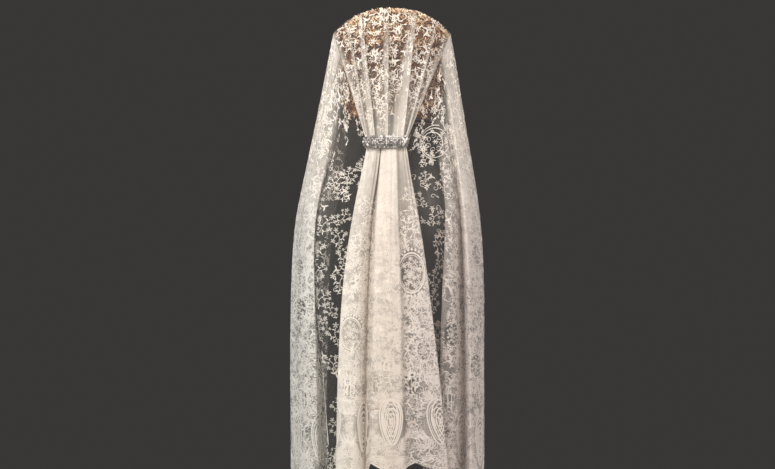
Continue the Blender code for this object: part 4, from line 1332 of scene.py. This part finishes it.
# The clasp. Rows of stones on a bar: height off its middle, half size, number, stand-off.
clasp = {"left": -0.0515, "right": 0.0213, "z": -0.0405, "height": 0.0295, "face": -0.0595, "reach": 0.0090}
claspRows = ((0.0122, 0.0031, 6, 0.0008), (0.0072, 0.0019, 9, 0.0010), (0.0034, 0.0019, 10, 0.0018),
             (-0.0004, 0.0019, 9, 0.0022), (-0.0042, 0.0019, 10, 0.0020), (-0.0080, 0.0019, 9, 0.0012),
             (-0.0119, 0.0021, 9, 0.0004))


def gems(name, spots):
    # rows of x, z, half width, half height, turn, stand-off: an eight-sided stone with a flat top and a skirt
    spots = np.array(spots, float)
    ray = rays(8, math.pi / 8)
    size, high = np.array((1.0, 1.0, 0.55)), np.array((0.0, 0.45, 1.0))
    flat = ray[None, None] * size[None, :, None, None] * spots[:, None, None, 2:4]
    x0, z0, halfWide, halfTall, turn, stand = (column[:, None, None] for column in spots.T)
    x = x0 + flat[..., 0] * np.cos(turn) - flat[..., 1] * np.sin(turn)
    z = z0 + flat[..., 0] * np.sin(turn) + flat[..., 1] * np.cos(turn)
    tall = stand + high[None, :, None] * np.minimum(halfWide, halfTall) * 0.75
    tall = np.where(np.arange(3)[None, :, None] == 0, -0.0004, tall)
    points = np.stack([x, clasp["face"] - tall + 0 * x, z], axis=-1)
    k = np.arange(8)
    ring = np.stack([k, (k + 1) % 8, (k + 1) % 8 + 8, k + 8], axis=1)
    top = 16 + np.array([(0, 1, 2, 3), (0, 3, 4, 7), (4, 5, 6, 7)])
    quads = np.concatenate([ring, ring + 8, top])[None] + (np.arange(len(spots)) * 24)[:, None, None]
    piece = meshFrom(name, points, quads)
    facets = len(piece.data.polygons) // len(spots)
    # painted glints: each stone gets a random brightness and each facet a little more; stones higher on the
    # clasp are lighter, as a painted highlight from above
    high = np.clip((spots[:, 1] - clasp["z"]) / clasp["height"] + 0.5, 0, 1)
    shine = np.repeat(rng.uniform(-0.15, 0.8, len(spots)) * (0.5 + 0.5 * high) + 0.42 * high ** 3, facets)
    shine += rng.uniform(0, 0.34, len(shine))
    glint = piece.data.attributes.new("sparkle", "FLOAT", "FACE")
    glint.data.foreach_set("value", shine.astype(np.float32))
    piece.data.shade_flat()
    return piece


def claspStones(start, stop):
    # rows of evenly spaced stones, each turned a little more than the last
    return [(start + (n + 0.5) * (stop - start) / count, clasp["z"] + offset, half, half, 0.2 * n, stand)
            for offset, half, count, stand in claspRows for n in range(count)]


def claspEndStones(x):
    # a round stone, four long stones round it, one to each lobe, and small ones between
    spots = [(x, clasp["z"], 0.0034, 0.0034, 0, 0.0030)]
    for across, up in rays(4, math.pi / 4) * (0.0050, 0.0090):
        spots.append((x + across, clasp["z"] + up, 0.0046, 0.0028, math.atan2(up, across), 0.0018))
    for across, up in rays(4) * (0.0062, 0.0132):
        spots.append((x + across, clasp["z"] + up, 0.0023, 0.0023, 0, 0.0014))
    return spots


middle = (clasp["left"] + clasp["right"]) / 2
for side, start, stop, end in (("Left", clasp["left"], middle, clasp["left"] - clasp["reach"]),
                               ("Right", middle, clasp["right"], clasp["right"] + clasp["reach"])):
    dress(gems("claspStones" + side, claspStones(start, stop)), stone)
    dress(gems("claspEndStones" + side, claspEndStones(end)), stone)
for node in ("clasp_bar_left", "clasp_bar_right", "clasp_end_left", "clasp_end_right"):
    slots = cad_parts[node].data.materials
    slots.clear()
    slots.append(silver)
print("clasp set")

# Camera, lights, backdrop and floor. The camera looks straight along +Y from behind.
view = {"distance": 4.0, "x": -0.0106, "z": -0.255, "lens": 79.07}
lights = {   # place, size, power, colour
    "keyLeft": ((-1.4, -1.9, 1.5), 1.3, 70, (1.0, 0.98, 0.955)),
    "fillRight": ((2.4, -2.2, 0.5), 2.0, 34, (1.0, 0.94, 0.90)),
    "backSoft": ((0.6, 2.2, 1.6), 2.2, 26, (1.0, 0.97, 0.93)),
}
stage = {"radius": 2.6, "z": -1.6, "floor": (0.62, 0.60, 0.57, 1), "aim": (0, 0, -0.25),
         "around": ((1.0, 0.985, 0.96, 1), 0.55), "behind": ((0.040, 0.0385, 0.037, 1), 1.0)}
scene = bpy.context.scene
scene.view_settings.view_transform = "Standard"
scene.cycles.transparent_max_bounces = 40
camera = bpy.data.objects.new("camera", bpy.data.cameras.new("camera"))
camera.location = (view["x"], -view["distance"], view["z"])
camera.rotation_euler = (math.pi / 2, 0, 0)
camera.data.lens, camera.data.clip_end = view["lens"], 60
scene.collection.objects.link(camera)
scene.camera = camera
for name, (where, size, power, colour) in lights.items():
    lamp = bpy.data.lights.new(name, "AREA")
    lamp.size, lamp.energy, lamp.color = size, power, colour
    thing = bpy.data.objects.new(name, lamp)
    thing.location = where
    aim = np.array(stage["aim"]) - np.array(where)
    thing.rotation_euler = (math.atan2(math.hypot(aim[0], aim[1]), -aim[2]), 0, math.atan2(-aim[0], aim[1]))
    scene.collection.objects.link(thing)


def softWorld():
    # what lights the lace is bright and plain; what stands behind it is a mid grey, so that the net reads
    world = bpy.data.worlds.new("room")
    world.use_nodes = True
    tree = world.node_tree
    tree.nodes.clear()
    mix, out = tree.nodes.new("ShaderNodeMixShader"), tree.nodes.new("ShaderNodeOutputWorld")
    tree.links.new(tree.nodes.new("ShaderNodeLightPath").outputs["Is Camera Ray"], mix.inputs[0])
    for socket, key in ((1, "around"), (2, "behind")):
        light = tree.nodes.new("ShaderNodeBackground")
        light.inputs[0].default_value, light.inputs[1].default_value = stage[key]
        tree.links.new(light.outputs[0], mix.inputs[socket])
    tree.links.new(mix.outputs[0], out.inputs[0])
    scene.world = world


softWorld()
floorMesh = bpy.data.meshes.new("floor")
floorMesh.from_pydata([(*spot * stage["radius"], stage["z"]) for spot in rays(64)], [], [list(range(64))])
floor = bpy.data.objects.new("floor", floorMesh)
scene.collection.objects.link(floor)
floorMesh.materials.append(newFinish("paleFloor", Base_Color=stage["floor"], Roughness=0.9)[0])
print("camera, light and floor set")
